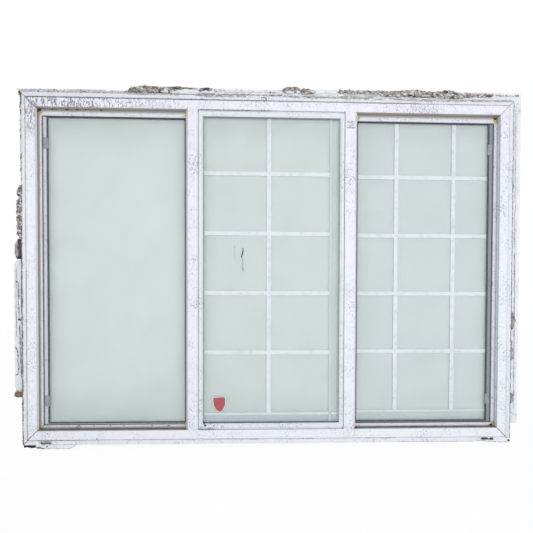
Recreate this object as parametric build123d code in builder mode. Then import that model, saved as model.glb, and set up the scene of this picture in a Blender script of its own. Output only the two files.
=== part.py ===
# Three-lite sliding window in white vinyl, as it came out of a stucco wall.
# The two outer lites are sashes that run in the frame's tracks; the middle lite is fixed.
# Millimetres. +X is to the right seen from outdoors, +Z is up and outdoors is towards -Y.
# The origin lies on the rear face of the head's nailing fin, at mid-width, on its slot line.
import os

from build123d import *

os.makedirs("parts", exist_ok=True)

# Overall sizes
frame_width = 2121.0
frame_height = 1499.0
frame_depth = 83.0
vinyl = 2.0  # wall of the hollow extrusions
gap = 0.2  # seating clearance between pieces

# Nailing fin
fin_setback = 35.0  # outdoor face of the frame back to the fin's rear face
fin_reach = 44.0  # frame edge out to the fin's edge
fin_thickness = 1.6
fin_tongue = 8.0  # what sits in the frame's kerf
slot_line = 22.0  # frame edge out to the nail slots
slot_length = 25.0
slot_width = 5.0
slot_pitch = 200.0
rib_lines = (12.0, 30.0)  # frame edge out to the ribs on the fin's outdoor face
rib_width = 2.5
rib_height = 0.9

# Frame extrusion: widths run inwards from the frame's edge, depths run back from its face
lip_depth = 7.0
lip_width = 20.0
face_start = 24.0
face_end = 62.0
screen_front = 24.0
screen_back = 36.0
screen_floor = 36.0
leg_back = 40.0
leg_rise = 74.0
head_leg_rise = 87.5  # the deeper leg at the head, so that the sash can be lifted out
sill_leg_rise = 77.0
sash_floor = 30.0
rail_rise = 37.0
rail_front = 56.5
rail_back = 59.5
inner_leg_front = 76.0
inner_leg_rise = 61.0
kerf_front = 33.2
kerf_back = 35.2
kerf_width = 10.0

# Sash extrusion, with depths from the frame's face
sash_front = 43.0
sash_back = 73.0
sash_width = 46.0
pocket_floor = 32.0
sash_lip_back = 46.5
groove_front = 54.5
groove_back = 61.5
groove_width = 14.0
sash_from_jamb = 45.0
sash_from_sill = 36.0
sash_from_head = 41.0
sash_from_centre = 327.0
seal_lap = 6.0  # what the pile seal laps over the leg's back
seal_reach = 3.5  # what shows of it beyond the leg
seal_thickness = 2.6

# Mullions and the fixed lite between them
mullion_inner = 315.0
mullion_outer = 359.5
mullion_back = 35.5
strip_width = 8.5
strip_front = 10.0
fixed_edge = 69.5  # frame edge to the fixed lite's beads, at head and sill
bead_width = 19.0
bead_front = 3.0
fixed_glass_front = 13.0

# Glass units
glass_thickness = 3.0
glass_space = 11.0
fixed_cover = 4.0  # bead edge to glass edge
sash_glass_cover = 34.0  # sash edge to glass edge
spacer_inset = 2.0
spacer_width = 8.0
gasket_reach = 6.5  # what shows of the dark gasket beyond the sash
fixed_gasket = 4.5  # what shows of the fixed lite's gasket beyond its beads
gasket_thickness = 2.0

# Grilles between the panes
bar_width = 17.5
bar_thickness = 6.0
border_width = 10.0
bar_rows = 4
row_pitch = 258.0
first_row = 240.0  # top sight line of the fixed lite down to the first bar
border_row = 269.0  # last bar down to the border bar
centre_bar = -12.0
centre_border = 257.0  # mid-width to the centre grille's border bar
right_bars = (554.0, 812.0)

# Placement
front_y = -fin_setback
top_z = -slot_line
bottom_z = top_z - frame_height
mid_z = (top_z + bottom_z) / 2
half_width = frame_width / 2
frame_box = (-half_width, half_width, bottom_z, top_z)
fixed_box = (-mullion_inner, mullion_inner, bottom_z + fixed_edge, top_z - fixed_edge)
sash_inner = sash_from_centre
sash_outer = half_width - sash_from_jamb
sash_low = bottom_z + sash_from_sill
sash_high = top_z - sash_from_head
sash_boxes = {
    "left": (-sash_outer, -sash_inner, sash_low, sash_high),
    "right": (sash_inner, sash_outer, sash_low, sash_high),
}


# Plane of the elevation at a depth behind the frame's face: x right, y up
def elevation(depth):
    return Plane.XZ.offset(-(front_y + depth))


# A box drawn in elevation, made smaller by an inset on every side
def inset(box, amount):
    left, right, low, high = box
    return (left + amount, right - amount, low + amount, high - amount)


def draw_box(box, mode=Mode.ADD):
    left, right, low, high = box
    with Locations(((left + right) / 2, (low + high) / 2)):
        Rectangle(right - left, high - low, mode=mode)


def draw_outline(points, mode=Mode.ADD):
    Polygon(*points, align=None, mode=mode)


def save(piece, name):
    piece.part.label = name
    export_step(piece.part, f"parts/{name}.step")


# Cross-section plane of one side of a rectangle of bars: x inwards, y back from the face
def side_plane(side, box):
    left, right, low, high = box
    middle_x = (left + right) / 2
    middle_z = (low + high) / 2
    if side == "head":
        return Plane(origin=(middle_x, front_y, high), x_dir=(0, 0, -1), z_dir=(1, 0, 0))
    if side == "sill":
        return Plane(origin=(middle_x, front_y, low), x_dir=(0, 0, 1), z_dir=(-1, 0, 0))
    if side == "left":
        return Plane(origin=(left, front_y, middle_z), x_dir=(1, 0, 0), z_dir=(0, 0, 1))
    return Plane(origin=(right, front_y, middle_z), x_dir=(-1, 0, 0), z_dir=(0, 0, -1))


# Hollow extrusion along one side, cut at 45 degrees where it meets its neighbours
def mitred_bar(side, box, outline, chambers, relief=0.0):
    left, right, low, high = box
    plane = side_plane(side, box)
    length = right - left if side in ("head", "sill") else high - low
    with BuildPart() as bar:
        with BuildSketch(plane):
            draw_outline(outline)
            for chamber in chambers:
                draw_outline(chamber, mode=Mode.SUBTRACT)
        extrude(amount=length / 2, both=True)
        for end in (-1, 1):
            corner = plane.origin + plane.z_dir * (end * (length / 2 - relief))
            cut = Plane(origin=corner, z_dir=plane.x_dir + plane.z_dir * end)
            split(bisect_by=cut, keep=Keep.BOTTOM)
    return bar


def plate(box, front, back):
    with BuildPart() as sheet:
        with BuildSketch(elevation(back)):
            draw_box(box)
        extrude(amount=back - front)
    return sheet


def ring(outer, width, front, back):
    with BuildPart() as band:
        with BuildSketch(elevation(back)):
            draw_box(outer)
            draw_box(inset(outer, width), mode=Mode.SUBTRACT)
        extrude(amount=back - front)
    return band


# Frame: one extrusion for head, sill and jambs, with a stepped lip, a flat face, the
# screen track, the leg, the sash track with its rail, and the leg on the room side
frame_outline = [
    (0, lip_depth + 1),
    (1, lip_depth),
    (lip_width, lip_depth),
    (lip_width + 2, lip_depth + 2.5),
    (face_start, 1.2),
    (face_start + 1.2, 0),
    (face_end - 1, 0),
    (face_end, 1),
    (face_end, screen_front),
    (screen_floor, screen_front),
    (screen_floor, screen_back),
    (leg_rise, screen_back),
    (leg_rise, leg_back),
    (sash_floor, leg_back),
    (sash_floor, rail_front),
    (rail_rise, rail_front),
    (rail_rise, rail_back),
    (sash_floor, rail_back),
    (sash_floor, inner_leg_front),
    (inner_leg_rise, inner_leg_front),
    (inner_leg_rise, frame_depth - 1),
    (inner_leg_rise - 1, frame_depth),
    (0, frame_depth),
    (0, kerf_back),
    (kerf_width, kerf_back),
    (kerf_width, kerf_front),
    (0, kerf_front),
]


def chamber(low_width, high_width, front, back):
    return [(low_width, front), (high_width, front), (high_width, back), (low_width, back)]


lip_chamber = [
    (vinyl, lip_depth + 2.5),
    (lip_width - 2, lip_depth + 2.5),
    (lip_width + 1, lip_depth + 5),
    (face_start + 1, lip_depth + 5),
    (face_start + 1, screen_front),
    (screen_floor - vinyl, screen_front),
    (screen_floor - vinyl, kerf_front - 2.7),
    (vinyl, kerf_front - 2.7),
]
frame_chambers = [
    lip_chamber,
    chamber(face_start + 3, face_end - vinyl, vinyl, screen_front - vinyl),
    chamber(vinyl, sash_floor - vinyl, kerf_back + 2.8, 57),
    chamber(vinyl, sash_floor - vinyl, 59, frame_depth - vinyl),
    chamber(sash_floor, inner_leg_rise - vinyl, inner_leg_front + vinyl, frame_depth - vinyl),
]



# The leg at head and sill stands higher than at the jambs: a strip between their legs
def leg_strip(top_edge, bottom_edge):
    reach = half_width - leg_rise - gap
    with BuildPart() as strip:
        with BuildSketch(elevation(leg_back)):
            draw_box((-reach, reach, bottom_edge, top_edge))
        extrude(amount=leg_back - screen_back)
    return strip


with BuildPart() as head_frame:
    add(mitred_bar("head", frame_box, frame_outline, frame_chambers).part)
    add(leg_strip(top_z - leg_rise, top_z - head_leg_rise).part)
save(head_frame, "head_frame")
save(mitred_bar("left", frame_box, frame_outline, frame_chambers), "left_jamb")
save(mitred_bar("right", frame_box, frame_outline, frame_chambers), "right_jamb")

# Sill: the same bar with a weep slot near each end of its lip
weep_length = 46.0
weep_height = 8.0
weep_from_edge = 97.0
weep_rise = 9.5
weep_places = [(end * (half_width - weep_from_edge), bottom_z + weep_rise) for end in (-1, 1)]
with BuildPart() as sill_frame:
    add(mitred_bar("sill", frame_box, frame_outline, frame_chambers).part)
    add(leg_strip(bottom_z + sill_leg_rise, bottom_z + leg_rise).part)
    with BuildSketch(elevation(lip_depth + 4)):
        with Locations(*weep_places):
            SlotOverall(weep_length, weep_height)
    extrude(amount=8, mode=Mode.SUBTRACT)
save(sill_frame, "sill_frame")

# Mullions: a hollow post between the frame's faces, tongues in the screen tracks, the
# glazing stop for the fixed lite and the hooked strip that meets the sash behind it
post_low = bottom_z + face_end
post_high = top_z - face_end
stop_reach = 18.0
stop_front = fixed_glass_front + 2 * glass_thickness + glass_space
for name, hand in (("left", -1), ("right", 1)):
    inner = mullion_inner + gap
    post_outline = [
        (inner, 1),
        (inner + 1, 0),
        (mullion_outer - 1, 0),
        (mullion_outer, 1),
        (mullion_outer, strip_front),
        (mullion_outer + strip_width, strip_front),
        (mullion_outer + strip_width, strip_front + vinyl),
        (mullion_outer, strip_front + vinyl),
        (mullion_outer, mullion_back),
        (inner, mullion_back),
    ]
    post_chambers = [
        chamber(inner + vinyl, mullion_outer - vinyl, vinyl, 21),
        chamber(inner + vinyl, mullion_outer - vinyl, 23, mullion_back - vinyl),
    ]
    stop_low = bottom_z + fixed_edge + bead_width
    stop_high = top_z - fixed_edge - bead_width
    hook_low = bottom_z + sill_leg_rise + 1
    hook_high = top_z - head_leg_rise - 1
    tongue_front = screen_front + gap
    tongue_inner = mullion_inner + 1
    tongue_outer = mullion_outer - 1
    section = Plane(origin=(0, front_y, 0), x_dir=(1, 0, 0), z_dir=(0, 0, 1))
    with BuildPart() as mullion:
        with BuildSketch(section.offset(post_low)):
            draw_outline([(hand * across, depth) for across, depth in post_outline])
            for hollow in post_chambers:
                points = [(hand * across, depth) for across, depth in hollow]
                draw_outline(points, mode=Mode.SUBTRACT)
        extrude(amount=post_high - post_low)
        for start, end in ((bottom_z + screen_floor + gap, post_low),
                           (post_high, top_z - screen_floor - gap)):
            with BuildSketch(section.offset(start)):
                points = chamber(tongue_inner, tongue_outer, tongue_front, mullion_back)
                draw_outline([(hand * across, depth) for across, depth in points])
            extrude(amount=end - start)
        with BuildSketch(section.offset(stop_low)):
            points = chamber(inner - stop_reach, inner, stop_front, mullion_back)
            draw_outline([(hand * across, depth) for across, depth in points])
        extrude(amount=stop_high - stop_low)
        with BuildSketch(section.offset(hook_low)):
            points = [(330, mullion_back), (357, mullion_back), (357, 41.5), (355, 41.5),
                      (355, mullion_back + vinyl), (330, mullion_back + vinyl)]
            draw_outline([(hand * across, depth) for across, depth in points])
        extrude(amount=hook_high - hook_low)
    save(mullion, f"{name}_mullion")

# Fixed lite: a channel in the track at head and sill, four mitred beads and a sealed unit
channel_outline = [
    (face_end + gap, 10),
    (fixed_edge, 10),
    (fixed_edge, stop_front),
    (fixed_edge + bead_width - gap, stop_front),
    (fixed_edge + bead_width - gap, mullion_back),
    (screen_floor + gap, mullion_back),
    (screen_floor + gap, screen_front + gap),
    (face_end + gap, screen_front + gap),
]
channel_chambers = [
    chamber(face_end + gap + vinyl, fixed_edge - vinyl, 10 + vinyl, mullion_back - vinyl),
    chamber(screen_floor + gap + vinyl, face_end + gap, screen_front + gap + vinyl,
            mullion_back - vinyl),
]
for side, name in (("head", "centre_top_channel"), ("sill", "centre_bottom_channel")):
    with BuildPart() as channel:
        with BuildSketch(side_plane(side, frame_box)):
            draw_outline(channel_outline)
            for hollow in channel_chambers:
                draw_outline(hollow, mode=Mode.SUBTRACT)
        extrude(amount=mullion_inner, both=True)
    save(channel, name)

bead_outline = [
    (0.3, bead_front + 1),
    (1.3, bead_front),
    (13, bead_front),
    (bead_width, bead_front + 5),
    (bead_width, fixed_glass_front),
    (0.3, fixed_glass_front),
]
bead_chamber = [(2.3, bead_front + 2), (12.3, bead_front + 2), (bead_width - 2, bead_front + 6),
                (bead_width - 2, fixed_glass_front - 2), (2.3, fixed_glass_front - 2)]
for side, name in (("head", "top"), ("sill", "bottom"), ("left", "left"), ("right", "right")):
    save(mitred_bar(side, fixed_box, bead_outline, [bead_chamber]), f"centre_{name}_bead")


# A sealed unit: two panes held apart by a spacer
def glass_unit(box, front, name):
    inner_front = front + glass_thickness + glass_space
    save(plate(box, front, front + glass_thickness), f"{name}_outer_glass")
    save(plate(box, inner_front, inner_front + glass_thickness), f"{name}_inner_glass")
    edge = inset(box, spacer_inset)
    save(ring(edge, spacer_width, front + glass_thickness, inner_front), f"{name}_spacer")


fixed_glass = inset(fixed_box, fixed_cover)
glass_unit(fixed_glass, fixed_glass_front, "centre")
bead_edge = inset(fixed_box, bead_width + gap)
save(ring(bead_edge, fixed_gasket, fixed_glass_front - gasket_thickness, fixed_glass_front),
     "centre_gasket")
for name, box in sash_boxes.items():
    unit_front = sash_lip_back + gasket_thickness
    glass_unit(inset(box, sash_glass_cover), unit_front, f"{name}_sash")

# Flat grilles between the panes, bars fused where they cross
sight_top = top_z - fixed_edge - bead_width
row_places = [sight_top - first_row - row * row_pitch for row in range(bar_rows)]
border_z = row_places[-1] - border_row


def grille(box, columns, border_x, front):
    left, right, low, high = inset(box, spacer_inset + spacer_width)
    right_end = border_x if border_x else right
    middle = (left + right_end) / 2
    back = front + (glass_space + bar_thickness) / 2
    with BuildPart() as lattice:
        with BuildSketch(elevation(back)):
            for row in row_places:
                with Locations((middle, row)):
                    Rectangle(right_end - left, bar_width)
            for column in columns:
                with Locations((column, (border_z + high) / 2)):
                    Rectangle(bar_width, high - border_z)
            with Locations(((left + right) / 2, border_z)):
                Rectangle(right - left, border_width)
            if border_x:
                with Locations((border_x, (low + high) / 2)):
                    Rectangle(border_width, high - low)
        extrude(amount=bar_thickness)
    return lattice


space_front = fixed_glass_front + glass_thickness
save(grille(fixed_glass, (centre_bar,), centre_border, space_front), "centre_grille")
sash_space_front = sash_lip_back + gasket_thickness + glass_thickness
right_glass = inset(sash_boxes["right"], sash_glass_cover)
save(grille(right_glass, right_bars, None, sash_space_front), "right_sash_grille")

# Sashes: four mitred bars, the gasket in front of the glass and the beads behind it
sash_outline = [
    (0, sash_front + 1),
    (1, sash_front),
    (sash_width - 1.5, sash_front),
    (sash_width, sash_front + 1.5),
    (sash_width, sash_lip_back),
    (pocket_floor, sash_lip_back),
    (pocket_floor, sash_back),
    (1, sash_back),
    (0, sash_back - 1),
    (0, groove_back),
    (groove_width, groove_back),
    (groove_width, groove_front),
    (0, groove_front),
]
sash_chambers = [
    chamber(vinyl, pocket_floor - vinyl, sash_front + vinyl, groove_front - vinyl),
    chamber(groove_width + vinyl, pocket_floor - vinyl, groove_front, groove_back),
    chamber(vinyl, pocket_floor - vinyl, groove_back + vinyl, sash_back - vinyl),
]
sash_bead_front = sash_lip_back + gasket_thickness + 2 * glass_thickness + glass_space
sash_bead_outline = [
    (pocket_floor + gap, sash_bead_front),
    (sash_width, sash_bead_front),
    (sash_width, sash_back - 5),
    (sash_width - 7, sash_back - 0.5),
    (pocket_floor + gap, sash_back - 0.5),
]
bar_names = {
    "left": {"left": "jamb_stile", "right": "meeting_stile"},
    "right": {"left": "meeting_stile", "right": "jamb_stile"},
}
roller_radius = 5.0
roller_inset = 110.0
bumper_width = 20.0
bumper_height = 47.0
bumper_thickness = 5.0
bumper_from_edge = 90.0
bumper_places = (mid_z + 546, mid_z - 567)
latch_width = 26.0
latch_height = 72.0
latch_depth = 9.0

# Leg on the front of the meeting stile that locks behind the mullion's hook
lock_leg = 348.5 - sash_from_centre
lock_outline = [
    (lock_leg, sash_front),
    (lock_leg, 38.5),
    (lock_leg + 5.5, 38.5),
    (lock_leg + 5.5, 40),
    (lock_leg + 1.5, 40),
    (lock_leg + 1.5, sash_front),
]

# Pile seal on the back of the frame's leg, round three sides of each sash
seal_end = 362.0
seal_jamb = half_width - leg_rise
seal_head = top_z - head_leg_rise
seal_sill = bottom_z + sill_leg_rise
seal_outline = [
    (seal_end, seal_sill - seal_lap),
    (seal_jamb + seal_lap, seal_sill - seal_lap),
    (seal_jamb + seal_lap, seal_head + seal_lap),
    (seal_end, seal_head + seal_lap),
    (seal_end, seal_head - seal_reach),
    (seal_jamb - seal_reach, seal_head - seal_reach),
    (seal_jamb - seal_reach, seal_sill + seal_reach),
    (seal_end, seal_sill + seal_reach),
]

for name, box in sash_boxes.items():
    names = {"head": "top_rail", "sill": "bottom_rail", **bar_names[name]}
    for side, bar_name in names.items():
        with BuildPart() as bar:
            add(mitred_bar(side, box, sash_outline, sash_chambers).part)
            if bar_name == "meeting_stile":
                with BuildSketch(side_plane(side, box)):
                    draw_outline(lock_outline)
                extrude(amount=(hook_high - hook_low) / 2 - 6, both=True)
        save(bar, f"{name}_sash_{bar_name}")
    gasket_box = inset(box, pocket_floor + 3)
    gasket_width = sash_width + gasket_reach - pocket_floor - 3
    gasket = ring(gasket_box, gasket_width, sash_lip_back, sash_lip_back + gasket_thickness)
    save(gasket, f"{name}_sash_gasket")

    seal_hand = -1 if name == "left" else 1
    with BuildPart() as seal:
        with BuildSketch(elevation(leg_back + gap + seal_thickness)):
            draw_outline([(seal_hand * across, height) for across, height in seal_outline])
        extrude(amount=seal_thickness)
    save(seal, f"{name}_sash_seal")

    # The four room-side beads are one node of four bars that stand a hair apart
    with BuildPart() as beads:
        for side in names:
            add(mitred_bar(side, box, sash_bead_outline, [], relief=gap).part)
    save(beads, f"{name}_sash_beads")

    # Two wheels on pins in the bottom rail's groove, standing on the sill's rail
    left, right, low, high = box
    hand = -1 if name == "left" else 1
    wheel_z = bottom_z + rail_rise + roller_radius
    with BuildPart() as rollers:
        for wheel_x in (left + roller_inset, right - roller_inset):
            with BuildSketch(Plane.XZ.offset(-(front_y + groove_back))):
                with Locations((wheel_x, wheel_z)):
                    Circle(1.5)
            extrude(amount=groove_back - groove_front)
            with BuildSketch(Plane.XZ.offset(-(front_y + groove_back - 1.5))):
                with Locations((wheel_x, wheel_z)):
                    Circle(roller_radius)
            extrude(amount=groove_back - groove_front - 3)
    save(rollers, f"{name}_sash_rollers")

    # Two bumper blocks on the front of the jamb stile, over its inner edge
    bumper_x = hand * (half_width - bumper_from_edge)
    with BuildPart() as bumpers:
        with BuildSketch(elevation(sash_front)):
            with Locations(*[(bumper_x, place) for place in bumper_places]):
                RectangleRounded(bumper_width, bumper_height, 3)
        extrude(amount=bumper_thickness, taper=8)
    save(bumpers, f"{name}_sash_bumpers")

    # Cam latch on the room side of the meeting stile: a housing with its lever
    latch_x = hand * (sash_inner + 17)
    with BuildPart() as latch:
        with BuildSketch(elevation(sash_back)):
            with Locations((latch_x, mid_z)):
                RectangleRounded(latch_width, latch_height, 8)
        extrude(amount=-latch_depth, taper=12)
        with BuildSketch(elevation(sash_back + latch_depth)):
            with Locations((latch_x, mid_z + 18)):
                Circle(8)
            with Locations((latch_x, mid_z - 2)):
                Rectangle(9, 40)
        extrude(amount=-5)
    save(latch, f"{name}_sash_latch")

# Nailing fins, as far as they are left: a slotted plate with a tongue in the frame's kerf
fin_front = fin_setback - fin_thickness
tongue_back = fin_setback - 0.4


# ribs are boxes on the plate's outdoor face
def fin(plate_points, tongue_box, slots, rotation, ribs):
    with BuildPart() as strip:
        with BuildSketch(elevation(fin_setback)):
            draw_outline(plate_points)
            if slots:
                with Locations(*slots):
                    SlotOverall(slot_length, slot_width, rotation=rotation, mode=Mode.SUBTRACT)
        extrude(amount=fin_thickness)
        with BuildSketch(elevation(tongue_back)):
            draw_box(tongue_box)
        extrude(amount=tongue_back - fin_front)
        for rib in ribs:
            with BuildSketch(elevation(fin_front)):
                draw_box(rib)
            extrude(amount=rib_height)
    return strip


def rib_band(edge, line, out):
    near = edge + out * (line - rib_width / 2)
    far = edge + out * (line + rib_width / 2)
    return (min(near, far), max(near, far))


fin_end = -622.0  # broken end of the head fin
head_edge = top_z + fin_reach
fin_side = half_width + fin_reach
# Left of fin_end it is torn off along its slots, and the lower halves of two are left
stub_top = top_z + 24
half_slot = top_z + 19.5
head_points = [
    (-half_width + 3, top_z + gap),
    (-half_width + 2, top_z + 9),
    (-half_width - 15, top_z + 14),
    (-half_width - 16, stub_top - 2),
    (-half_width + 40, stub_top),
    (-912, stub_top - 2),
    (-910, half_slot),
    (-889, half_slot),
    (-887, stub_top - 1),
    (-790, stub_top + 1),
    (-712, stub_top),
    (-710, half_slot),
    (-690, half_slot),
    (-688, stub_top - 1),
    (fin_end - 12, stub_top - 2),
    (fin_end + 5, stub_top + 5),
    (fin_end + 38, head_edge),
    (-300, head_edge - 2),
    (-180, head_edge - 7),
    (40, head_edge - 4),
    (120, head_edge),
    (fin_side, head_edge),
    (fin_side, top_z + gap),
]
head_tongue = (-half_width + 12, half_width - 12, top_z - fin_tongue, top_z + 1)
head_slots = [(-500.0 + slot_pitch * place, 0.0) for place in range(8)]
head_ribs = [
    (start, fin_side, *rib_band(top_z, line, 1))
    for start, line in zip((-half_width + 20, fin_end + 40), rib_lines)
]
save(fin(head_points, head_tongue, head_slots, 0, head_ribs), "head_fin")

gusset_low = top_z - 46
gusset_points = [
    (half_width + gap, gusset_low),
    (fin_side, gusset_low),
    (fin_side, top_z),
    (half_width + gap, top_z),
]
gusset_tongue = (half_width - fin_tongue, half_width + 1, gusset_low, top_z - 12)
save(fin(gusset_points, gusset_tongue, [], 0, []), "corner_gusset")

side_low = bottom_z + 69
side_high = gusset_low - 0.5
right_points = [
    (half_width + gap, side_high),
    (fin_side, side_high),
    (fin_side, side_low + 9),
    (fin_side - 13, side_low + 2),
    (fin_side - 21, side_low + 7),
    (half_width + gap, side_low),
]
right_tongue = (half_width - fin_tongue, half_width + 1, side_low, side_high)
slot_x = half_width + slot_line
right_slots = [(slot_x, mid_z + 300.0 - slot_pitch * place) for place in range(4)]
right_ribs = [
    (*rib_band(half_width, line, 1), side_low + 60, side_high) for line in rib_lines
]
save(fin(right_points, right_tongue, right_slots, 90, right_ribs), "right_fin")

left_low = mid_z - 522
left_high = mid_z + 46
left_points = [
    (-half_width - gap, left_low),
    (-fin_side + 6, left_low + 3),
    (-fin_side, left_low + 16),
    (-fin_side, left_high - 22),
    (-fin_side + 9, left_high - 6),
    (-half_width - gap, left_high),
]
left_tongue = (-half_width - 1, -half_width + fin_tongue, left_low + 4, left_high - 4)
left_slots = [(-slot_x, mid_z - 138.0 - slot_pitch * place) for place in range(2)]
left_ribs = [
    (*rib_band(-half_width, line, -1), left_low + 20, left_high - 24) for line in rib_lines
]
save(fin(left_points, left_tongue, left_slots, 90, left_ribs), "left_fin")

# Strip left on the sill's lip, its end cut at an angle, with the weep's hood on it
strip_left = -half_width + 56
strip_right = strip_left + 168
strip_top = bottom_z + lip_width - 1
strip_low = bottom_z - 16
strip_points = [
    (strip_left, strip_low + 2),
    (strip_left + 5, strip_low),
    (strip_right - 22, strip_low),
    (strip_right + 4, bottom_z + 2),
    (strip_right - 3, strip_top),
    (strip_left, strip_top),
]
strip_back = lip_depth - 0.1
strip_thickness = 2.0
with BuildPart() as sill_strip:
    with BuildSketch(elevation(strip_back)):
        draw_outline(strip_points)
        with Locations(weep_places[0]):
            SlotOverall(weep_length, weep_height, mode=Mode.SUBTRACT)
    extrude(amount=strip_thickness)
save(sill_strip, "sill_strip")

hood_back = strip_back - strip_thickness
with BuildPart() as weep_hood:
    with BuildSketch(elevation(hood_back)):
        with Locations(weep_places[0]):
            SlotOverall(weep_length + 8, weep_height + 7)
            SlotOverall(weep_length - 2, weep_height - 1, mode=Mode.SUBTRACT)
    extrude(amount=1.5)
save(weep_hood, "weep_hood")

# Black felt caught under the sill's left corner
felt_points = [
    (-half_width + 2, bottom_z),
    (-half_width + 3, bottom_z - 12),
    (-half_width + 16, bottom_z - 9),
    (-half_width + 34, bottom_z - 13),
    (-half_width + 52, bottom_z - 12),
    (-half_width + 61, bottom_z - 6),
    (-half_width + 60, bottom_z),
]
with BuildPart() as felt_scrap:
    with BuildSketch(elevation(20)):
        draw_outline(felt_points)
    extrude(amount=9)
save(felt_scrap, "felt_scrap")

# Splinter of wood under the left fin
wood_points = [
    (-half_width - gap, left_low - 1),
    (-fin_side + 5, left_low - 3),
    (-fin_side + 3, left_low - 20),
    (-fin_side + 20, left_low - 25),
    (-half_width - gap, left_low - 22),
]
with BuildPart() as wood_splinter:
    with BuildSketch(elevation(fin_setback)):
        draw_outline(wood_points)
    extrude(amount=14)
save(wood_splinter, "wood_splinter")

# Curled scrap of flashing above the left fin, a thin sheet bent in an arc
flap_low = left_high + 3
flap_high = flap_low + 92
flap_plane = Plane(origin=(0, front_y, flap_low), x_dir=(1, 0, 0), z_dir=(0, 0, 1))
flap_root = -half_width - gap
with BuildPart() as flashing_curl:
    with BuildSketch(flap_plane):
        with BuildLine():
            outer = ThreePointArc((flap_root, 30), (flap_root - 19, 24), (flap_root - 27, 8))
            inner = ThreePointArc((flap_root, 31.2), (flap_root - 19.8, 25), (flap_root - 28.1, 8.3))
            Line(outer @ 0, inner @ 0)
            Line(outer @ 1, inner @ 1)
        make_face()
    extrude(amount=flap_high - flap_low)
save(flashing_curl, "flashing_curl")

# Stucco that broke away with the window: lumps in front of the head fin and over its edge
crust_back = fin_front - rib_height - gap
crust_low = top_z + gap
lump_outlines = [
    [(-615, 12), (-606, 44), (-575, 52), (-520, 49), (-490, 47), (-470, 40), (-430, 45),
     (-380, 42), (-330, 38), (-300, 30), (-310, 14), (-460, 10)],
    [(42, 22), (52, 45), (78, 50), (105, 47), (120, 42), (160, 44), (178, 34), (170, 24)],
    [(262, 24), (270, 41), (360, 43), (430, 40), (520, 44), (590, 51), (640, 50), (700, 46),
     (750, 52), (800, 47), (840, 36), (830, 22), (600, 16), (420, 20)],
]
with BuildPart() as top_stucco:
    for points in lump_outlines:
        with BuildSketch(elevation(crust_back)):
            draw_outline([(across, crust_low + rise) for across, rise in points])
        extrude(amount=13, taper=20)
save(top_stucco, "top_stucco")

# Lumps along the outer edges of the jambs
edge_lumps = {
    "left_stucco": (-1, [(0, 365), (14, 350), (24, 300), (20, 250), (31, 200), (24, 154), (0, 145)], 22),
    "right_stucco": (1, [(0, -168), (12, -176), (19, -205), (11, -236), (0, -242)], 12),
}
for name, (hand, points, thickness) in edge_lumps.items():
    edge = half_width + gap
    with BuildPart() as crust:
        with BuildSketch(elevation(crust_back if hand > 0 else fin_setback)):
            draw_outline([(hand * (edge + out), mid_z + rise) for out, rise in points])
        extrude(amount=thickness, taper=10)
    save(crust, name)
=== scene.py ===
import math

import bmesh
import bpy
import numpy as np
from mathutils import Matrix, Vector


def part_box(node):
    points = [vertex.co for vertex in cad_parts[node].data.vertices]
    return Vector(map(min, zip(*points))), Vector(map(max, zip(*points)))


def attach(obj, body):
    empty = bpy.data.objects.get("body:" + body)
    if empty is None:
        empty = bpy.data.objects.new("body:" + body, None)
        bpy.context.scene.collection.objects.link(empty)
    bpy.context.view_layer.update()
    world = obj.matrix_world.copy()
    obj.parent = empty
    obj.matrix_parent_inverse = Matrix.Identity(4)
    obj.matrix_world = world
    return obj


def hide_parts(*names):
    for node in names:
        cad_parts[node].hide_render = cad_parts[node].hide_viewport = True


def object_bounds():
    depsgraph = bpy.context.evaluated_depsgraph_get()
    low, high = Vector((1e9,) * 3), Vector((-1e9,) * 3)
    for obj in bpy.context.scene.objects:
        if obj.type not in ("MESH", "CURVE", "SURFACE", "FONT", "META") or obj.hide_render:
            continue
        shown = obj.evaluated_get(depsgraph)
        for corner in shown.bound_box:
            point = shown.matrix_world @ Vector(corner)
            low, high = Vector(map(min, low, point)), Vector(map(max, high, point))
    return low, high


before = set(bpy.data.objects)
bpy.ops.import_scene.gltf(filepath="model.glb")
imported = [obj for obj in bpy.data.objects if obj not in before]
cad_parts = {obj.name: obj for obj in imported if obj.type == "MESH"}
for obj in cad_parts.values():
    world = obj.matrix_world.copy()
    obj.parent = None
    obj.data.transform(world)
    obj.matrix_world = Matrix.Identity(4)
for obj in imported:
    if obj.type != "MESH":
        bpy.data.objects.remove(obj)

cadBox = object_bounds()
mm = 0.001

# Places that the pieces share, read from the frame
frameLeft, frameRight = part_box("left_jamb")[0].x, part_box("right_jamb")[1].x
frameBottom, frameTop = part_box("sill_frame")[0].z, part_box("head_frame")[1].z
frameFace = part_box("head_frame")[0].y
midHeight = (frameTop + frameBottom) / 2
print("frame", round(frameRight - frameLeft, 3), "x", round(frameTop - frameBottom, 3), "m")


# Colour as seen on a screen, 0 to 255, turned into the linear value that a shader takes
def screenColour(red, green, blue):
    def linear(value):
        share = value / 255
        return share / 12.92 if share <= 0.04045 else ((share + 0.055) / 1.055) ** 2.4
    return (linear(red), linear(green), linear(blue), 1.0)


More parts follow.
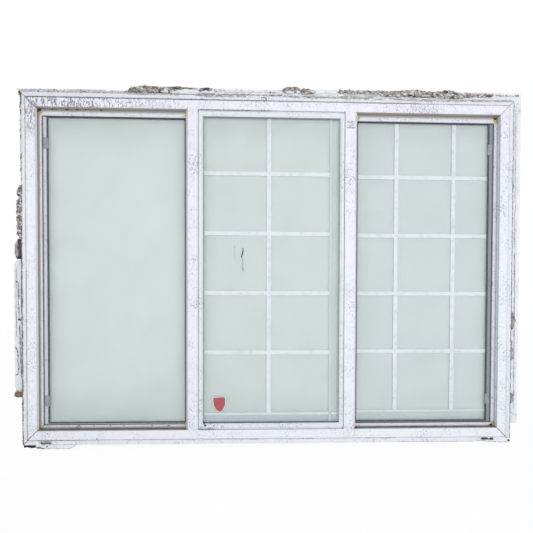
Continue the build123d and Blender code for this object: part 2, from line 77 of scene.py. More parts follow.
# One output in a material's tree: arithmetic adds Math nodes, node() adds any other kind
class Wire:
    def __init__(self, tree, socket=None):
        self.tree = tree
        self.socket = socket

    def node(self, kind, settings=None, inputs=None, output=0):
        made = self.tree.nodes.new(kind)
        for name, value in (settings or {}).items():
            setattr(made, name, value)
        for name, value in (inputs or {}).items():
            if isinstance(value, Wire):
                self.tree.links.new(value.socket, made.inputs[name])
            else:
                made.inputs[name].default_value = value
        return Wire(self.tree, made.outputs[output])

    def pick(self, output):
        return Wire(self.tree, self.socket.node.outputs[output])

    def math(self, operation, *others):
        inputs = dict(enumerate((self, *others)))
        return self.node("ShaderNodeMath", {"operation": operation}, inputs)

    def __add__(self, other):
        return self.math("ADD", other)

    def __sub__(self, other):
        return self.math("SUBTRACT", other)

    def __mul__(self, other):
        return self.math("MULTIPLY", other)

    def __truediv__(self, other):
        return self.math("DIVIDE", other)

    def __rsub__(self, other):
        return (self * -1) + other

    __radd__ = __add__

    def __abs__(self):
        return self.math("ABSOLUTE")

    def least(self, other):
        return self.math("MINIMUM", other)

    def most(self, other):
        return self.math("MAXIMUM", other)


# 0 at low and 1 at high with a smooth step between; low may be the larger one
def fade(value, low, high):
    settings = {"interpolation_type": "SMOOTHSTEP"}
    return value.node("ShaderNodeMapRange", settings,
                      {"Value": value, "From Min": low, "From Max": high})


# 1 within half a width of the middle, soft at both sides
def stripe(value, middle, width, soft):
    return fade(abs(value - middle), width / 2 + soft, width / 2)


# The first colour where share is 0 and the second where it is 1
def blend(first, second, share):
    return share.node("ShaderNodeMix", {"data_type": "RGBA"}, {0: share, 6: first, 7: second}, 2)


# A place scaled along each axis, so that noise read there is drawn out or squeezed
def stretch(point, across, deep, high):
    return point.node("ShaderNodeVectorMath", {"operation": "MULTIPLY"},
                      {0: point, 1: (across, deep, high)})


# Cloudy noise, about 0.5 on average; size is the width of its patches in metres
def clouds(point, size, detail=3.0, rough=0.55, twist=0.0):
    return point.node("ShaderNodeTexNoise", {}, {
        "Vector": point, "Scale": 1 / size, "Detail": detail, "Roughness": rough,
        "Distortion": twist})


# Distance to the nearest of many scattered points, size being the room that each takes
def cells(point, size):
    return point.node("ShaderNodeTexVoronoi", {}, {"Vector": point, "Scale": 1 / size})


def bump(height, distance, strength=1.0):
    return height.node("ShaderNodeBump", {}, {"Height": height, "Distance": distance,
                                              "Strength": strength})


# A new material with its Principled shader: returns the start of its tree and the shader
def startMaterial(name):
    material = bpy.data.materials.new(name)
    material.use_nodes = True
    shader = material.node_tree.nodes["Principled BSDF"]
    return material, Wire(material.node_tree), shader


def setShader(bench, shader, **sockets):
    for name, value in sockets.items():
        socket = shader.inputs[name.replace("_", " ")]
        if isinstance(value, Wire):
            bench.tree.links.new(value.socket, socket)
        else:
            socket.default_value = value


# Position in millimetres, and the distances to the frame's four edges and its face
def framePlaces(bench):
    point = bench.node("ShaderNodeTexCoord", output="Object")
    parts = bench.node("ShaderNodeSeparateXYZ", inputs={0: point})
    x, y, z = (parts.pick(axis) / mm for axis in "XYZ")
    return {
        "point": point, "x": x, "z": z,
        "left": x - frameLeft / mm, "right": frameRight / mm - x,
        "top": frameTop / mm - z, "bottom": z - frameBottom / mm,
        "depth": y - frameFace / mm,
    }


# Weathered vinyl: a cool white with lavender flecks, curved rain streaks, brown grime on the outer
# edges, grime with painted shade in the grooves and tracks, and a hairline at each mitre
vinylLook = {
    "white": screenColour(240, 243, 251),
    "fleck": screenColour(160, 162, 184),
    "streak": screenColour(138, 138, 152),
    "stain": screenColour(200, 197, 204),
    "grime": screenColour(96, 86, 76),
    "lip": screenColour(216, 219, 232),
    "tan": screenColour(166, 157, 146),
    "litReturn": screenColour(248, 249, 250),
    "coolShade": screenColour(150, 160, 182),
    "strip": screenColour(200, 194, 198),
    "joint": screenColour(108, 104, 106),
    "crust": screenColour(168, 160, 154),
    "shadow": screenColour(124, 127, 132),
    "roughness": 0.42,
    "wander": 3.0,  # mm that the borders of the wear stray
}

# The frame's section in mm: widths run in from its outer edge, depths back from its face.
# stripFace and seam are places across, torn is where the head fin's broken end begins
section = {"lip": 20.0, "face": 24.0, "faceEnd": 61.0, "mitreEnd": 78.0, "screenFloor": 36.0,
           "screenBack": 36.5, "stripFace": 360.0, "seam": 315.0, "torn": -606.0}

# Wear, painted shade and painted highlight that a finish has when its row doesn't say otherwise:
# amounts from 0 to 1, then places in mm. tone can also be under 0, which makes the white paler
plainWear = {"flecks": 0.5, "streaks": 0.0, "track": 0.0, "edges": 0.0, "soil": 0.0,
             "mitres": 0.0, "groove": 0.0, "shade": 0.0, "stub": 0.0, "seams": 0.0,
             "litReturn": 0.0, "coolShade": 0.0, "strips": 0.0, "dark": 0.0, "tone": 0.0, "lip": 0.0,
             "trackFront": 20.0, "legClean": 60.0, "rightClean": 0.0, "darkTo": 57.0,
             "edgeReach": 4.2}


# Frame places with the distance to the nearest side, rail and edge, and a small wandering
def wornPlaces(bench):
    at = framePlaces(bench)
    at["side"] = at["left"].least(at["right"])
    at["rail"] = at["top"].least(at["bottom"])
    at["edge"] = at["side"].least(at["rail"])
    at["wander"] = (clouds(at["point"], 0.04, 3.0) - 0.5) * vinylLook["wander"]
    at["density"] = clouds(at["point"], 0.11, 2.0)
    return at


# White with flecks a few millimetres across, thicker in some places, and faint stains; tone
# moves the white towards the lip's grey
def fleckedWhite(at, amount):
    look = vinylLook
    fleckNoise = clouds(stretch(at["point"], 1.0, 1.0, 0.7), 0.006, 2.0, 0.6, 0.3)
    fleckMask = fade(fleckNoise + at["density"] * 0.5, 0.80, 0.98)
    white = tuple(pale + (dull - pale) * amount["tone"]
                  for pale, dull in zip(look["white"], look["lip"]))
    colour = blend(white, look["fleck"], fleckMask * amount["flecks"])
    patches = fade(clouds(at["point"], 0.05, 4.0, 0.65), 0.5, 0.72)
    colour = blend(colour, look["stain"], patches * (0.3 * amount["flecks"] + 0.05))
    return colour, fleckMask


# Curved streaks in the dirt of the face, thickest towards the top left corner, and a painted
# highlight that makes the return between the face and the screen track paler
def addStreaks(colour, at, amount):
    face, faceEnd = section["face"], section["faceEnd"]
    if amount["streaks"]:
        onFace = fade(at["edge"], face - 3.0, face) * fade(at["depth"], 5.0, 2.0)
        curl = clouds(stretch(at["point"], 1.0, 1.0, 0.4), 0.0095, 2.0, 0.5, 1.6)
        runs = fade(curl + at["density"] * 0.2, 0.58, 0.68)
        heavy = fade(at["x"], -420.0, -760.0) * fade(at["top"], 190.0, 140.0) * 0.88 + 0.12
        colour = blend(colour, vinylLook["streak"], runs * heavy * onFace * amount["streaks"])
    if amount["litReturn"]:
        # Painted highlight: the return, which faces the light, is made paler
        returns = fade(at["depth"], 2.0, 5.0) * fade(at["depth"], 25.0, 23.0)
        returns = returns * fade(at["edge"], faceEnd - 3.0, faceEnd)
        colour = blend(colour, vinylLook["litReturn"], returns * amount["litReturn"])
    return colour


# Grey of the lip, grime with painted shade in the groove beside it, and grime in the mitre joints,
# on the outer edges and in patches
def addGrime(colour, at, amount):
    look, lip = vinylLook, section["lip"]
    edge, side, rail, depth = (at[name] for name in ("edge", "side", "rail", "depth"))
    if amount["lip"]:
        onLip = fade(edge, lip + 2.0, lip - 0.5) * fade(depth, 4.0, 6.0)
        colour = blend(colour, look["lip"], onLip * amount["lip"])
    if amount["groove"]:
        # The groove's dark line is grime and painted shade together
        grooveGrimeAndShade = stripe(edge + at["wander"] * 0.25, lip, 3.8, 0.9) * fade(depth, 1.5, 3.5)
        worn = fade(clouds(at["point"], 0.08, 3.0), 0.3, 0.6) * 0.5 + 0.5
        worn = worn * (fade(at["x"], 500.0, -500.0) * 0.5 + 0.5)
        colour = blend(colour, look["grime"], grooveGrimeAndShade * worn * amount["groove"])
    if amount["mitres"]:
        end = section["mitreEnd"]
        joint = fade(abs(side - rail), 2.9, 1.2) * fade(side.most(rail), end + 6.0, end)
        broken = fade(clouds(at["point"], 0.02, 3.0), 0.3, 0.55) * 0.5 + 0.5
        colour = blend(colour, look["joint"], joint * broken * amount["mitres"])
    if amount["edges"]:
        reach = amount["edgeReach"]
        outer = fade(side + at["wander"] * (reach * 0.4), reach, reach * 0.4)
        ragged = fade(clouds(at["point"], 0.028, 4.0, 0.65), 0.42, 0.56)
        outer = outer * fade(depth, 34.0, 14.0) * (ragged * 0.75 + 0.25)
        smudged = fade(side, 1.5, 0.5) * fade(depth, 20.0, 34.0) * ragged * 0.3
        colour = blend(colour, look["grime"], outer.most(smudged) * amount["edges"])
    if amount["soil"]:
        soiled = fade(clouds(at["point"], 0.012, 4.0, 0.6), 0.42, 0.56)
        colour = blend(colour, look["grime"], soiled * amount["soil"])
    return colour


# Brown dust in the screen track up to a line on the leg, partly painted shade; painted shade
# darkens its bottom and turns it grey towards the right
def addTrackDust(colour, at, amount):
    look, floor, back = vinylLook, section["screenFloor"], section["screenBack"]
    clean, front = amount["legClean"], amount["trackFront"]
    strayed = at["edge"] + at["wander"] * 1.5
    rightward = fade(at["x"], -section["stripFace"], section["stripFace"])
    inTrack = fade(at["depth"] + at["wander"] * 1.5, front, front + 5.0)
    inTrack = inTrack * fade(at["depth"], back + 2.0, back) * fade(at["edge"], floor - 2.0, floor)
    line = strayed + rightward * amount["rightClean"]
    inTrack = inTrack * fade(line, clean + 6.0, clean - 4.0)
    # Painted shade: towards the right the track's dust turns the grey of shadow
    dust = blend(look["tan"], look["shadow"], rightward * amount["coolShade"])
    colour = blend(colour, dust, inTrack * amount["track"])
    # Painted shade at the track's bottom, deep in the crevice
    bottom = fade(strayed, amount["darkTo"] + 1.5, amount["darkTo"] - 1.5)
    return blend(colour, look["grime"], inTrack * bottom * amount["dark"])


# Only on some pieces: painted cool shade on the returns, tan strips beside the mullions, crust on
# the torn fin, brown seams beside the middle lite, and painted shade on the sashes behind the leg
def addLocalWear(colour, at, amount):
    look, faceEnd = vinylLook, section["faceEnd"]
    depth, fromMiddle = at["depth"], abs(at["x"])
    if amount["coolShade"]:
        # Painted shade: the returns between the face and the track turn a cool grey
        returns = fade(depth, 0.5, 3.0) * fade(depth, 14.0, 8.0)
        returns = returns * fade(at["edge"], faceEnd - 3.0, faceEnd)
        colour = blend(colour, look["coolShade"], returns * amount["coolShade"])
    if amount["strips"]:
        strip = section["stripFace"]
        onStrip = fade(fromMiddle, strip - 0.4, strip + 0.4) * fade(depth, 5.0, 8.0)
        leftward = fade(at["x"], 300.0, -300.0) * 0.7 + 0.3
        colour = blend(colour, look["strip"], onStrip * leftward * amount["strips"])
    if amount["stub"]:
        torn = fade(at["x"], section["torn"], section["torn"] - 10.0)
        torn = torn * fade(clouds(at["point"], 0.012, 4.0, 0.6), 0.34, 0.52)
        colour = blend(colour, look["crust"], torn * amount["stub"])
    if amount["seams"]:
        seam = stripe(fromMiddle + at["wander"] * 0.2, section["seam"], 1.6, 1.2)
        colour = blend(colour, look["grime"], seam * fade(depth, 20.0, 8.0) * amount["seams"])
    if amount["shade"]:
        # Painted shade on the sashes' fronts, set back behind the frame's leg
        behind = fade(depth, 34.0, 42.0) * fade(depth, 63.0, 58.0)
        colour = blend(colour, look["shadow"], behind * amount["shade"])
    return colour


def vinylMaterial(name, **wear):
    amount = {**plainWear, **wear}
    material, bench, shader = startMaterial(name)
    at = wornPlaces(bench)
    colour, fleckMask = fleckedWhite(at, amount)
    colour = addGrime(addStreaks(colour, at, amount), at, amount)
    if amount["track"]:
        colour = addTrackDust(colour, at, amount)
    colour = addLocalWear(colour, at, amount)
    grain = clouds(at["point"], 0.0012, 2.0)
    dents = clouds(at["point"], 0.02, 3.0)
    height = fleckMask * 0.5 + grain * 0.25 + dents * 0.6
    setShader(bench, shader, Base_Color=colour,
              Roughness=vinylLook["roughness"] + fleckMask * 0.25 + dents * 0.12,
              Normal=bump(height, 0.0004, 0.5))
    return material


# What each finish of the frame, the sashes and the fin wears, with the painted shade and highlight
# some take
vinylWear = {
    "head": {"flecks": 0.7, "streaks": 0.95, "track": 0.85, "mitres": 0.8, "groove": 1.0,
             "lip": 0.4, "trackFront": 3.0, "legClean": 70.0, "darkTo": 62.5, "dark": 0.12},
    "leftJamb": {"flecks": 0.6, "streaks": 0.75, "track": 0.85, "edges": 0.9, "mitres": 0.8,
                 "groove": 0.65, "edgeReach": 7.5, "litReturn": 0.8, "legClean": 66.0,
                 "darkTo": 58.0, "dark": 0.2, "lip": 0.3, "tone": -0.3},
    "rightJamb": {"flecks": 0.8, "track": 0.12, "edges": 0.9, "mitres": 0.8, "groove": 0.4,
                  "lip": 0.35, "coolShade": 0.35, "tone": 0.1},
    "sill": {"flecks": 0.5, "track": 0.95, "mitres": 0.95, "groove": 0.4, "lip": 0.2,
             "trackFront": 8.0, "legClean": 69.0, "rightClean": 5.0, "darkTo": 63.0,
             "dark": 0.6, "coolShade": 0.7},
    "strip": {"flecks": 0.4},
    "hood": {"flecks": 0.4, "soil": 0.5},
    "post": {"flecks": 0.8, "seams": 0.6, "strips": 0.9, "tone": 0.15},
    "bead": {"flecks": 0.7, "seams": 0.7, "tone": 0.35},
    # Both sashes take painted shade behind the leg, much heavier on the right sash
    "leftSash": {"flecks": 0.5, "shade": 0.4, "tone": -0.7},
    "rightSash": {"flecks": 0.4, "shade": 0.85, "tone": -0.3},
    "headFin": {"flecks": 0.45, "stub": 0.6},
    "fin": {"flecks": 0.45},
}
materials = {name: vinylMaterial(f"weathered vinyl {name}", **wear)
             for name, wear in vinylWear.items()}
print("vinyl materials", len(materials))


# Small pieces: two colours in clouds of one size. A row is the finish's name, both colours,
# the size of the clouds, roughness, the relief in metres, and metal where there is any
plainFinishes = {
    "gasket": ("old gasket rubber", (72, 80, 90), (98, 106, 114), 0.01, 0.7, 0.0003),
    "spacer": ("spacer aluminium", (168, 176, 176), (150, 158, 158), 0.03, 0.45, 0.0001, 0.6),
    "roller": ("nylon roller", (190, 188, 180), (150, 146, 138), 0.004, 0.5, 0.0002),
    "bumper": ("grey bumper block", (168, 169, 174), (146, 147, 152), 0.012, 0.6, 0.0003),
    "hardware": ("latch enamel", (236, 236, 234), (222, 220, 214), 0.02, 0.35, 0.0002),
    "felt": ("black felt", (14, 14, 14), (40, 36, 32), 0.003, 0.95, 0.002),
    "wood": ("torn wood", (150, 124, 96), (96, 74, 54), 0.004, 0.9, 0.001),
    "sealant": ("yellowed sealant", (230, 202, 140), (206, 168, 102), 0.006, 0.5, 0.0003),
    "plaster": ("plaster flakes", (236, 236, 240), (206, 204, 204), 0.008, 0.9, 0.0006),
    "redPaint": ("red paint flakes", (196, 120, 112), (164, 96, 88), 0.004, 0.8, 0.0004),
    "redFilm": ("red film", (184, 74, 86), (172, 96, 104), 0.008, 0.5, 0.0001),
    "rimFilm": ("clear film rim", (214, 232, 229), (202, 222, 219), 0.01, 0.4, 0.0001),
    "drip": ("dark drip", (66, 70, 70), (104, 110, 108), 0.006, 0.6, 0.0003),
    "faintDrip": ("faint drip", (150, 158, 156), (184, 194, 190), 0.008, 0.6, 0.0002),
    "grime": ("packed grime", (70, 58, 46), (112, 98, 84), 0.006, 0.9, 0.0004),
    "soot": ("black soot", (34, 31, 30), (60, 54, 50), 0.004, 0.9, 0.0003),
    "score": ("grey scoring", (132, 134, 146), (168, 170, 182), 0.01, 0.7, 0.0002),
    "deepScore": ("dark scoring and painted shadow", (92, 94, 104), (134, 136, 148), 0.01, 0.7, 0.0002),
    "whiteChip": ("white paint chip", (240, 244, 252), (216, 220, 230), 0.01, 0.6, 0.0004),
    "smear": ("tan smear", (184, 178, 176), (152, 147, 145), 0.008, 0.85, 0.0004),
}


def plainMaterial(name, base, second, size, roughness, relief, metal=0.0):
    material, bench, shader = startMaterial(name)
    point = bench.node("ShaderNodeTexCoord", output="Object")
    cloud = clouds(point, size, 5.0, 0.6)
    grain = clouds(point, size / 8, 3.0)
    colour = blend(screenColour(*base), screenColour(*second), fade(cloud, 0.38, 0.66))
    setShader(bench, shader, Base_Color=colour, Metallic=metal,
              Roughness=roughness + (cloud - 0.5) * 0.3,
              Normal=bump(cloud + grain * 0.4, relief))
    return material


for finish, row in plainFinishes.items():
    materials[finish] = plainMaterial(*row)


# The middle lite's gasket: dark at the foot, less dark at the top, pale up both sides
def gasketMaterial():
    material, bench, shader = startMaterial("middle lite gasket")
    at = framePlaces(bench)
    dust = fade(clouds(at["point"], 0.01, 4.0), 0.4, 0.65)
    deep = fade(at["bottom"], 104.0, 95.0).most(fade(at["top"], 98.0, 88.0) * 0.6)
    colour = blend(screenColour(160, 172, 172), screenColour(74, 86, 92), deep)
    setShader(bench, shader, Base_Color=blend(colour, screenColour(120, 128, 132), dust * 0.3),
              Roughness=0.65 + dust * 0.15, Normal=bump(dust, 0.0003))
    return material


materials["centreGasket"] = gasketMaterial()


# Broken stucco: sand and cement in patches, with pale lime, rusty grains and painted shade in its
# hollows. A row is the finish's name, both colours, how much lime shows and how dark that shade is
stuccoFinishes = {
    "stucco": ("stucco crust", (178, 171, 165), (126, 115, 104), 1.0, 1.0),
    "edgeStucco": ("edge crust", (156, 153, 148), (106, 101, 95), 0.95, 1.0),
    "mortar": ("lip mortar", (196, 192, 192), (166, 160, 157), 0.7, 0.5),
    "jambMortar": ("jamb mortar", (184, 179, 174), (150, 143, 136), 0.4, 0.6),
    "dirt": ("brown dirt", (134, 118, 100), (98, 84, 70), 0.3, 0.6),
}
stuccoLook = {"lime": screenColour(226, 225, 226), "rust": screenColour(138, 98, 66),
              "hollow": screenColour(74, 66, 58)}


def stuccoMaterial(name, base, second, pale, dark):
    look = stuccoLook
    material, bench, shader = startMaterial(name)
    point = bench.node("ShaderNodeTexCoord", output="Object")
    patch = clouds(point, 0.016, 5.0, 0.6)
    colour = blend(screenColour(*base), screenColour(*second), fade(patch, 0.36, 0.62))
    lime = fade(clouds(stretch(point, 0.6, 1.0, 1.4), 0.013, 4.0, 0.6, 0.8), 0.51, 0.57)
    colour = blend(colour, look["lime"], lime * pale)
    grains = cells(point, 0.0032)
    rust = fade(grains, 0.24, 0.12) * fade(clouds(point, 0.03, 2.0), 0.5, 0.66)
    colour = blend(colour, look["rust"], rust * 0.8)
    # Painted shade in the hollows, which the bump also sinks
    hollow = fade(clouds(point, 0.014, 3.0, 0.6, 0.5), 0.43, 0.35)
    colour = blend(colour, look["hollow"], hollow * dark)
    setShader(bench, shader, Base_Color=colour, Roughness=0.9 + lime * 0.08,
              Normal=bump(patch - hollow * 0.6 + grains * 0.3, 0.0022))
    return material


for finish, row in stuccoFinishes.items():
    materials[finish] = stuccoMaterial(*row)


# Curled flashing: pale and bluish, with painted shade in brown on the curl's inner side towards
# the jamb, brown along its rim, and painted shade in black in both open ends. Each pair is where a
# colour
# begins and where it is full: places across from the frame's edge for inner and rim, and distances
# from an end for the rest
flashingLook = {
    "pale": screenColour(200, 216, 226), "dust": screenColour(140, 154, 164),
    "innerShade": screenColour(92, 74, 54), "rimBrown": screenColour(96, 84, 72),
    "openEndShade": screenColour(38, 34, 30), "inner": (-23.2, -19.5), "rim": (-26.2, -27.2),
    "upperEnd": (7.0, 2.0), "lowerEnd": (14.0, 4.0),
}


def flashingMaterial():
    look = flashingLook
    material, bench, shader = startMaterial("curled flashing")
    at = framePlaces(bench)
    low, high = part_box("flashing_curl")
    dust = fade(clouds(stretch(at["point"], 1.0, 1.0, 0.3), 0.006, 4.0), 0.4, 0.65)
    colour = blend(look["pale"], look["dust"], dust)
    # Painted shade on the curl's inner side, towards the jamb
    inward = fade(at["left"] + (dust - 0.5) * 2, *look["inner"])
    colour = blend(colour, look["innerShade"], inward * 0.95)
    rim = fade(at["left"] + (dust - 0.5), *look["rim"])
    colour = blend(colour, look["rimBrown"], rim * 0.6)
    # Painted shade in both open ends of the curl
    upperEnd = fade(high.z / mm - at["z"], *look["upperEnd"])
    ends = upperEnd.most(fade(at["z"] - low.z / mm, *look["lowerEnd"]))
    colour = blend(colour, look["openEndShade"], ends * (inward * 0.5 + 0.5))
    setShader(bench, shader, Base_Color=colour, Roughness=0.5 + dust * 0.2,
              Normal=bump(dust, 0.0004))
    return material


materials["flashing"] = flashingMaterial()


# Flat grilles between the panes. The thin bars that border a lite show only faintly: one
# lies so far under the frame's top, and the middle lite has another at a place across
borderBars = {"under": 1371.5, "across": 257.0, "width": 11.0}


def grilleMaterial(node):
    material, bench, shader = startMaterial(node.replace("_", " "))
    at = framePlaces(bench)
    dust = fade(clouds(at["point"], 0.02, 4.0), 0.45, 0.75)
    colour = blend(screenColour(238, 243, 250), screenColour(214, 222, 230), dust)
    border = stripe(at["top"], borderBars["under"], borderBars["width"], 0.8)
    colour = blend(colour, screenColour(226, 236, 237), border * 0.9)
    if node == "centre_grille":
        upright = stripe(at["x"], borderBars["across"], borderBars["width"], 0.8)
        colour = blend(colour, screenColour(206, 216, 216), upright * 0.9)
    setShader(bench, shader, Base_Color=colour, Roughness=0.45 + dust * 0.2,
              Normal=bump(dust, 0.0002))
    return material


for grille in ("centre_grille", "right_sash_grille"):
    materials[grille] = grilleMaterial(grille)


# Glass with a film of haze: part of the light goes through, the film shows a pale green that dulls
# towards the top, the bottom and the ends of each lite, with dirt and painted shade there
glassLook = {
    "dull": screenColour(164, 180, 178),
    "foot": screenColour(162, 190, 220),
    "outerCover": 0.06,
    "innerCover": 0.56,
    "roughness": 0.07,
}


# box is the pane's low and high corner. dulling gives the film's colour, how far it dulls
# inward from each side, how high the bluish foot is, and how dull it gets
def glassMaterial(name, cover, box, dulling):
    look = glassLook
    low, high = box
    material, bench, shader = startMaterial(name)
    at = framePlaces(bench)
    fromSide = (at["x"] - low.x / mm).least(high.x / mm - at["x"])
    fromTop = high.z / mm - at["z"]
    fromBottom = at["z"] - low.z / mm
    mottle = clouds(at["point"], 0.12, 4.0, 0.6)
    # Dirt and painted shade dull the film towards each edge
    dull = fade(fromSide, dulling["side"], 0.0).most(fade(fromTop, dulling["top"], 0.0))
    dull = dull.most(fade(fromBottom, dulling["bottom"], 0.0))
    clear = screenColour(*dulling["film"])
    film = blend(clear, look["dull"], dull * dulling["amount"] + (mottle - 0.5) * 0.25)
    film = blend(film, look["foot"], fade(fromBottom, dulling["foot"], 0.0) * 0.5)
    setShader(bench, shader, Base_Color=film, Roughness=look["roughness"] + mottle * 0.06,
              Alpha=cover + (mottle - 0.5) * 0.1, IOR=1.5)
    return material


lites = ("left_sash", "centre", "right_sash")
liteFilms = {
    "left_sash": {"film": (219, 233, 230), "side": 80.0, "top": 190.0, "bottom": 260.0,
                  "foot": 25.0, "amount": 0.32},
    "centre": {"film": (212, 226, 223), "side": 85.0, "top": 150.0, "bottom": 180.0,
               "foot": 75.0, "amount": 0.32},
    "right_sash": {"film": (209, 223, 222), "side": 60.0, "top": 120.0, "bottom": 100.0,
                   "foot": 40.0, "amount": 0.2},
}
for lite in lites:
    for pane in ("outer", "inner"):
        node = f"{lite}_{pane}_glass"
        materials[node] = glassMaterial(node.replace("_", " "), glassLook[f"{pane}Cover"],
                                        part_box(node), liteFilms[lite])
print("all materials", len(materials))

# Which finish each node of the frame takes
finishes = {
    "head_frame": "head", "sill_frame": "sill", "left_jamb": "leftJamb",
    "right_jamb": "rightJamb", "left_mullion": "post", "right_mullion": "post",
    "centre_top_channel": "post", "centre_bottom_channel": "post",
    "centre_spacer": "spacer", "centre_gasket": "centreGasket",
    "centre_grille": "centre_grille", "right_sash_grille": "right_sash_grille",
    "head_fin": "headFin", "corner_gusset": "fin", "right_fin": "fin", "left_fin": "fin",
    "sill_strip": "strip", "weep_hood": "hood", "felt_scrap": "felt", "wood_splinter": "wood",
    "flashing_curl": "flashing", "top_stucco": "stucco", "left_stucco": "stucco",
    "right_stucco": "stucco",
}
for side in ("top", "bottom", "left", "right"):
    finishes[f"centre_{side}_bead"] = "bead"
for side in ("left", "right"):
    for bar in ("jamb_stile", "meeting_stile", "top_rail", "bottom_rail", "beads"):
        finishes[f"{side}_sash_{bar}"] = f"{side}Sash"
    finishes[f"{side}_sash_spacer"] = "spacer"
    finishes[f"{side}_sash_gasket"] = "gasket"
    finishes[f"{side}_sash_seal"] = "gasket"
    finishes[f"{side}_sash_rollers"] = "roller"
    finishes[f"{side}_sash_bumpers"] = "bumper"
    finishes[f"{side}_sash_latch"] = "hardware"
for lite in lites:
    for pane in ("outer", "inner"):
        finishes[f"{lite}_{pane}_glass"] = f"{lite}_{pane}_glass"
for nodeName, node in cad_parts.items():
    for slot in node.material_slots:
        slot.material = materials[finishes[nodeName]]
print("finished nodes", len(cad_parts))


# Waves of one size from twelve seeded directions: the sum of sin(k . p + phase) over 3.5,
# which runs from about -1 to 1
def ripples(points, size, seed):
    dice = np.random.default_rng(seed)
    ways = dice.normal(size=(12, 3))
    ways *= 2 * math.pi / size / np.linalg.norm(ways, axis=1)[:, None]
    return np.sin(points @ ways.T + dice.uniform(0, 2 * math.pi, 12)).sum(axis=1) / 3.5


# Faces of a closed skin over rings of points, numbered ring by ring, with a cap at each end
def skinFaces(rings, around):
    corners = np.arange(rings * around).reshape(rings, around)
    turned = np.roll(corners, -1, axis=1)
    sides = np.stack((corners[:-1], turned[:-1], turned[1:], corners[1:]), -1).reshape(-1, 4)
    return sides.tolist() + [corners[0, ::-1].tolist(), corners[-1].tolist()]


# A piece of the model from points in millimetres, its faces turned outward
def addPiece(name, points, faces, finish, slot, replaced=(), smooth=True):
    mesh = bpy.data.meshes.new(name)
    mesh.from_pydata((points * mm).tolist(), [], faces)
    shell = bmesh.new()
    shell.from_mesh(mesh)
    bmesh.ops.recalc_face_normals(shell, faces=shell.faces)
    shell.to_mesh(mesh)
    shell.free()
    mesh.polygons.foreach_set("use_smooth", [smooth] * len(faces))
    mesh.materials.append(materials[finish])
    piece = bpy.data.objects.new(name, mesh)
    bpy.context.scene.collection.objects.link(piece)
    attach(piece, "root")
    if replaced:
        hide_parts(*replaced)
    return piece


# Several closed skins in one piece: parts is a list of (points, faces) numbered from 0
def joinParts(parts):
    points = np.concatenate([part[0] for part in parts])
    starts = np.cumsum([0] + [len(part[0]) for part in parts[:-1]])
    faces = [[int(start) + corner for corner in face]
             for start, part in zip(starts, parts) for face in part[1]]
    return points, faces


# How finely a crust roll is cut, the power that squares its section, and its ripples: the
# size of the waves and how far they push. Below a height of "slim" the ripples die down
rollShape = {"step": 2.5, "fewest": 6, "around": 20, "power": 0.7, "coarse": (17, 1.7),
             "fine": (6, 1.1), "along": (9, 0.8), "slim": 7}


# A broken roll of crust along an edge. Stations give the place along it and its low and
# high side there, front and back are depths. The section at angle a is
#   across = middle + half * sgn(cos a) |cos a|^power, and depth the same with sin a,
# pushed out by coarse and fine ripples and narrowed at both ends
def crustRoll(stations, front, back, seed, rough):
    look = rollShape
    table = np.array(sorted(stations), dtype=float)
    count = max(int((table[-1, 0] - table[0, 0]) / look["step"]), look["fewest"])
    around = look["around"]
    along = np.linspace(table[0, 0], table[-1, 0], count)
    low, high = (np.interp(along, table[:, 0], table[:, side])[:, None] for side in (1, 2))
    fromEnd = np.minimum(np.arange(count), np.arange(count)[::-1])[:, None]
    fill = np.minimum(fromEnd / 3 + 0.2, 1.0)
    angle = np.arange(around) / around * 2 * math.pi
    upward, inward = np.cos(angle), np.sin(angle)
    upward, inward = (np.sign(way) * abs(way) ** look["power"] for way in (upward, inward))
    points = np.stack((along[:, None] + 0 * upward,
                       (front + back) / 2 + fill * (back - front) / 2 * inward,
                       (low + high) / 2 + fill * (high - low) / 2 * upward), -1).reshape(-1, 3)
    (coarse, far), (fine, near), (slow, drift) = look["coarse"], look["fine"], look["along"]
    push = (ripples(points, coarse, seed) * far + ripples(points, fine, seed + 1) * near) * rough
    room = np.minimum((high - low) * fill / look["slim"], 1.0).repeat(around, 1).ravel()
    points[:, 1] += push * room * np.tile(inward, count)
    points[:, 2] += push * room * np.tile(upward, count)
    points[:, 0] += ripples(points, slow, seed + 2) * drift
    return points, skinFaces(count, around)


# Where a roll along the head, or up a jamb's outer edge, lies in the frame
def onHead(part):
    return part[0] + (0, frameFace / mm, frameTop / mm), part[1]


def onEdge(part, hand):
    along, depth, across = part[0].T
    edge = (frameRight if hand > 0 else frameLeft) / mm
    places = np.stack((edge + hand * across, depth + frameFace / mm, along + midHeight / mm), -1)
    return places, part[1]


# Lumps: each a ball of six rings, from 1.35 radians below its middle to as far above,
# roughened by ripples, pulled to its half sizes and turned. A row is x, depth and height of
# its middle, then the three half sizes
def lumps(rows, seed, rough, turn):
    dice = np.random.default_rng(seed)
    rings, around, reach, wave = 6, 9, 1.35, 2.2
    rise = np.linspace(-reach, reach, rings)[:, None]
    angle = np.arange(around) / around * 2 * math.pi
    ball = np.stack((np.cos(rise) * np.cos(angle), np.cos(rise) * np.sin(angle),
                     np.sin(rise) + 0 * angle), -1).reshape(-1, 3)
    parts = []
    for row in np.array(rows, dtype=float):
        grown = ball * (1 + rough * ripples(ball, wave, int(dice.integers(1e6))))[:, None]
        lean = dice.uniform(-turn, turn)
        grown = grown * row[3:]
        across, high = grown[:, 0].copy(), grown[:, 2].copy()
        grown[:, 0] = across * math.cos(lean) - high * math.sin(lean)
        grown[:, 2] = across * math.sin(lean) + high * math.cos(lean)
        parts.append((grown + row[:3] + (0, frameFace / mm, 0), skinFaces(rings, around)))
    return joinParts(parts)


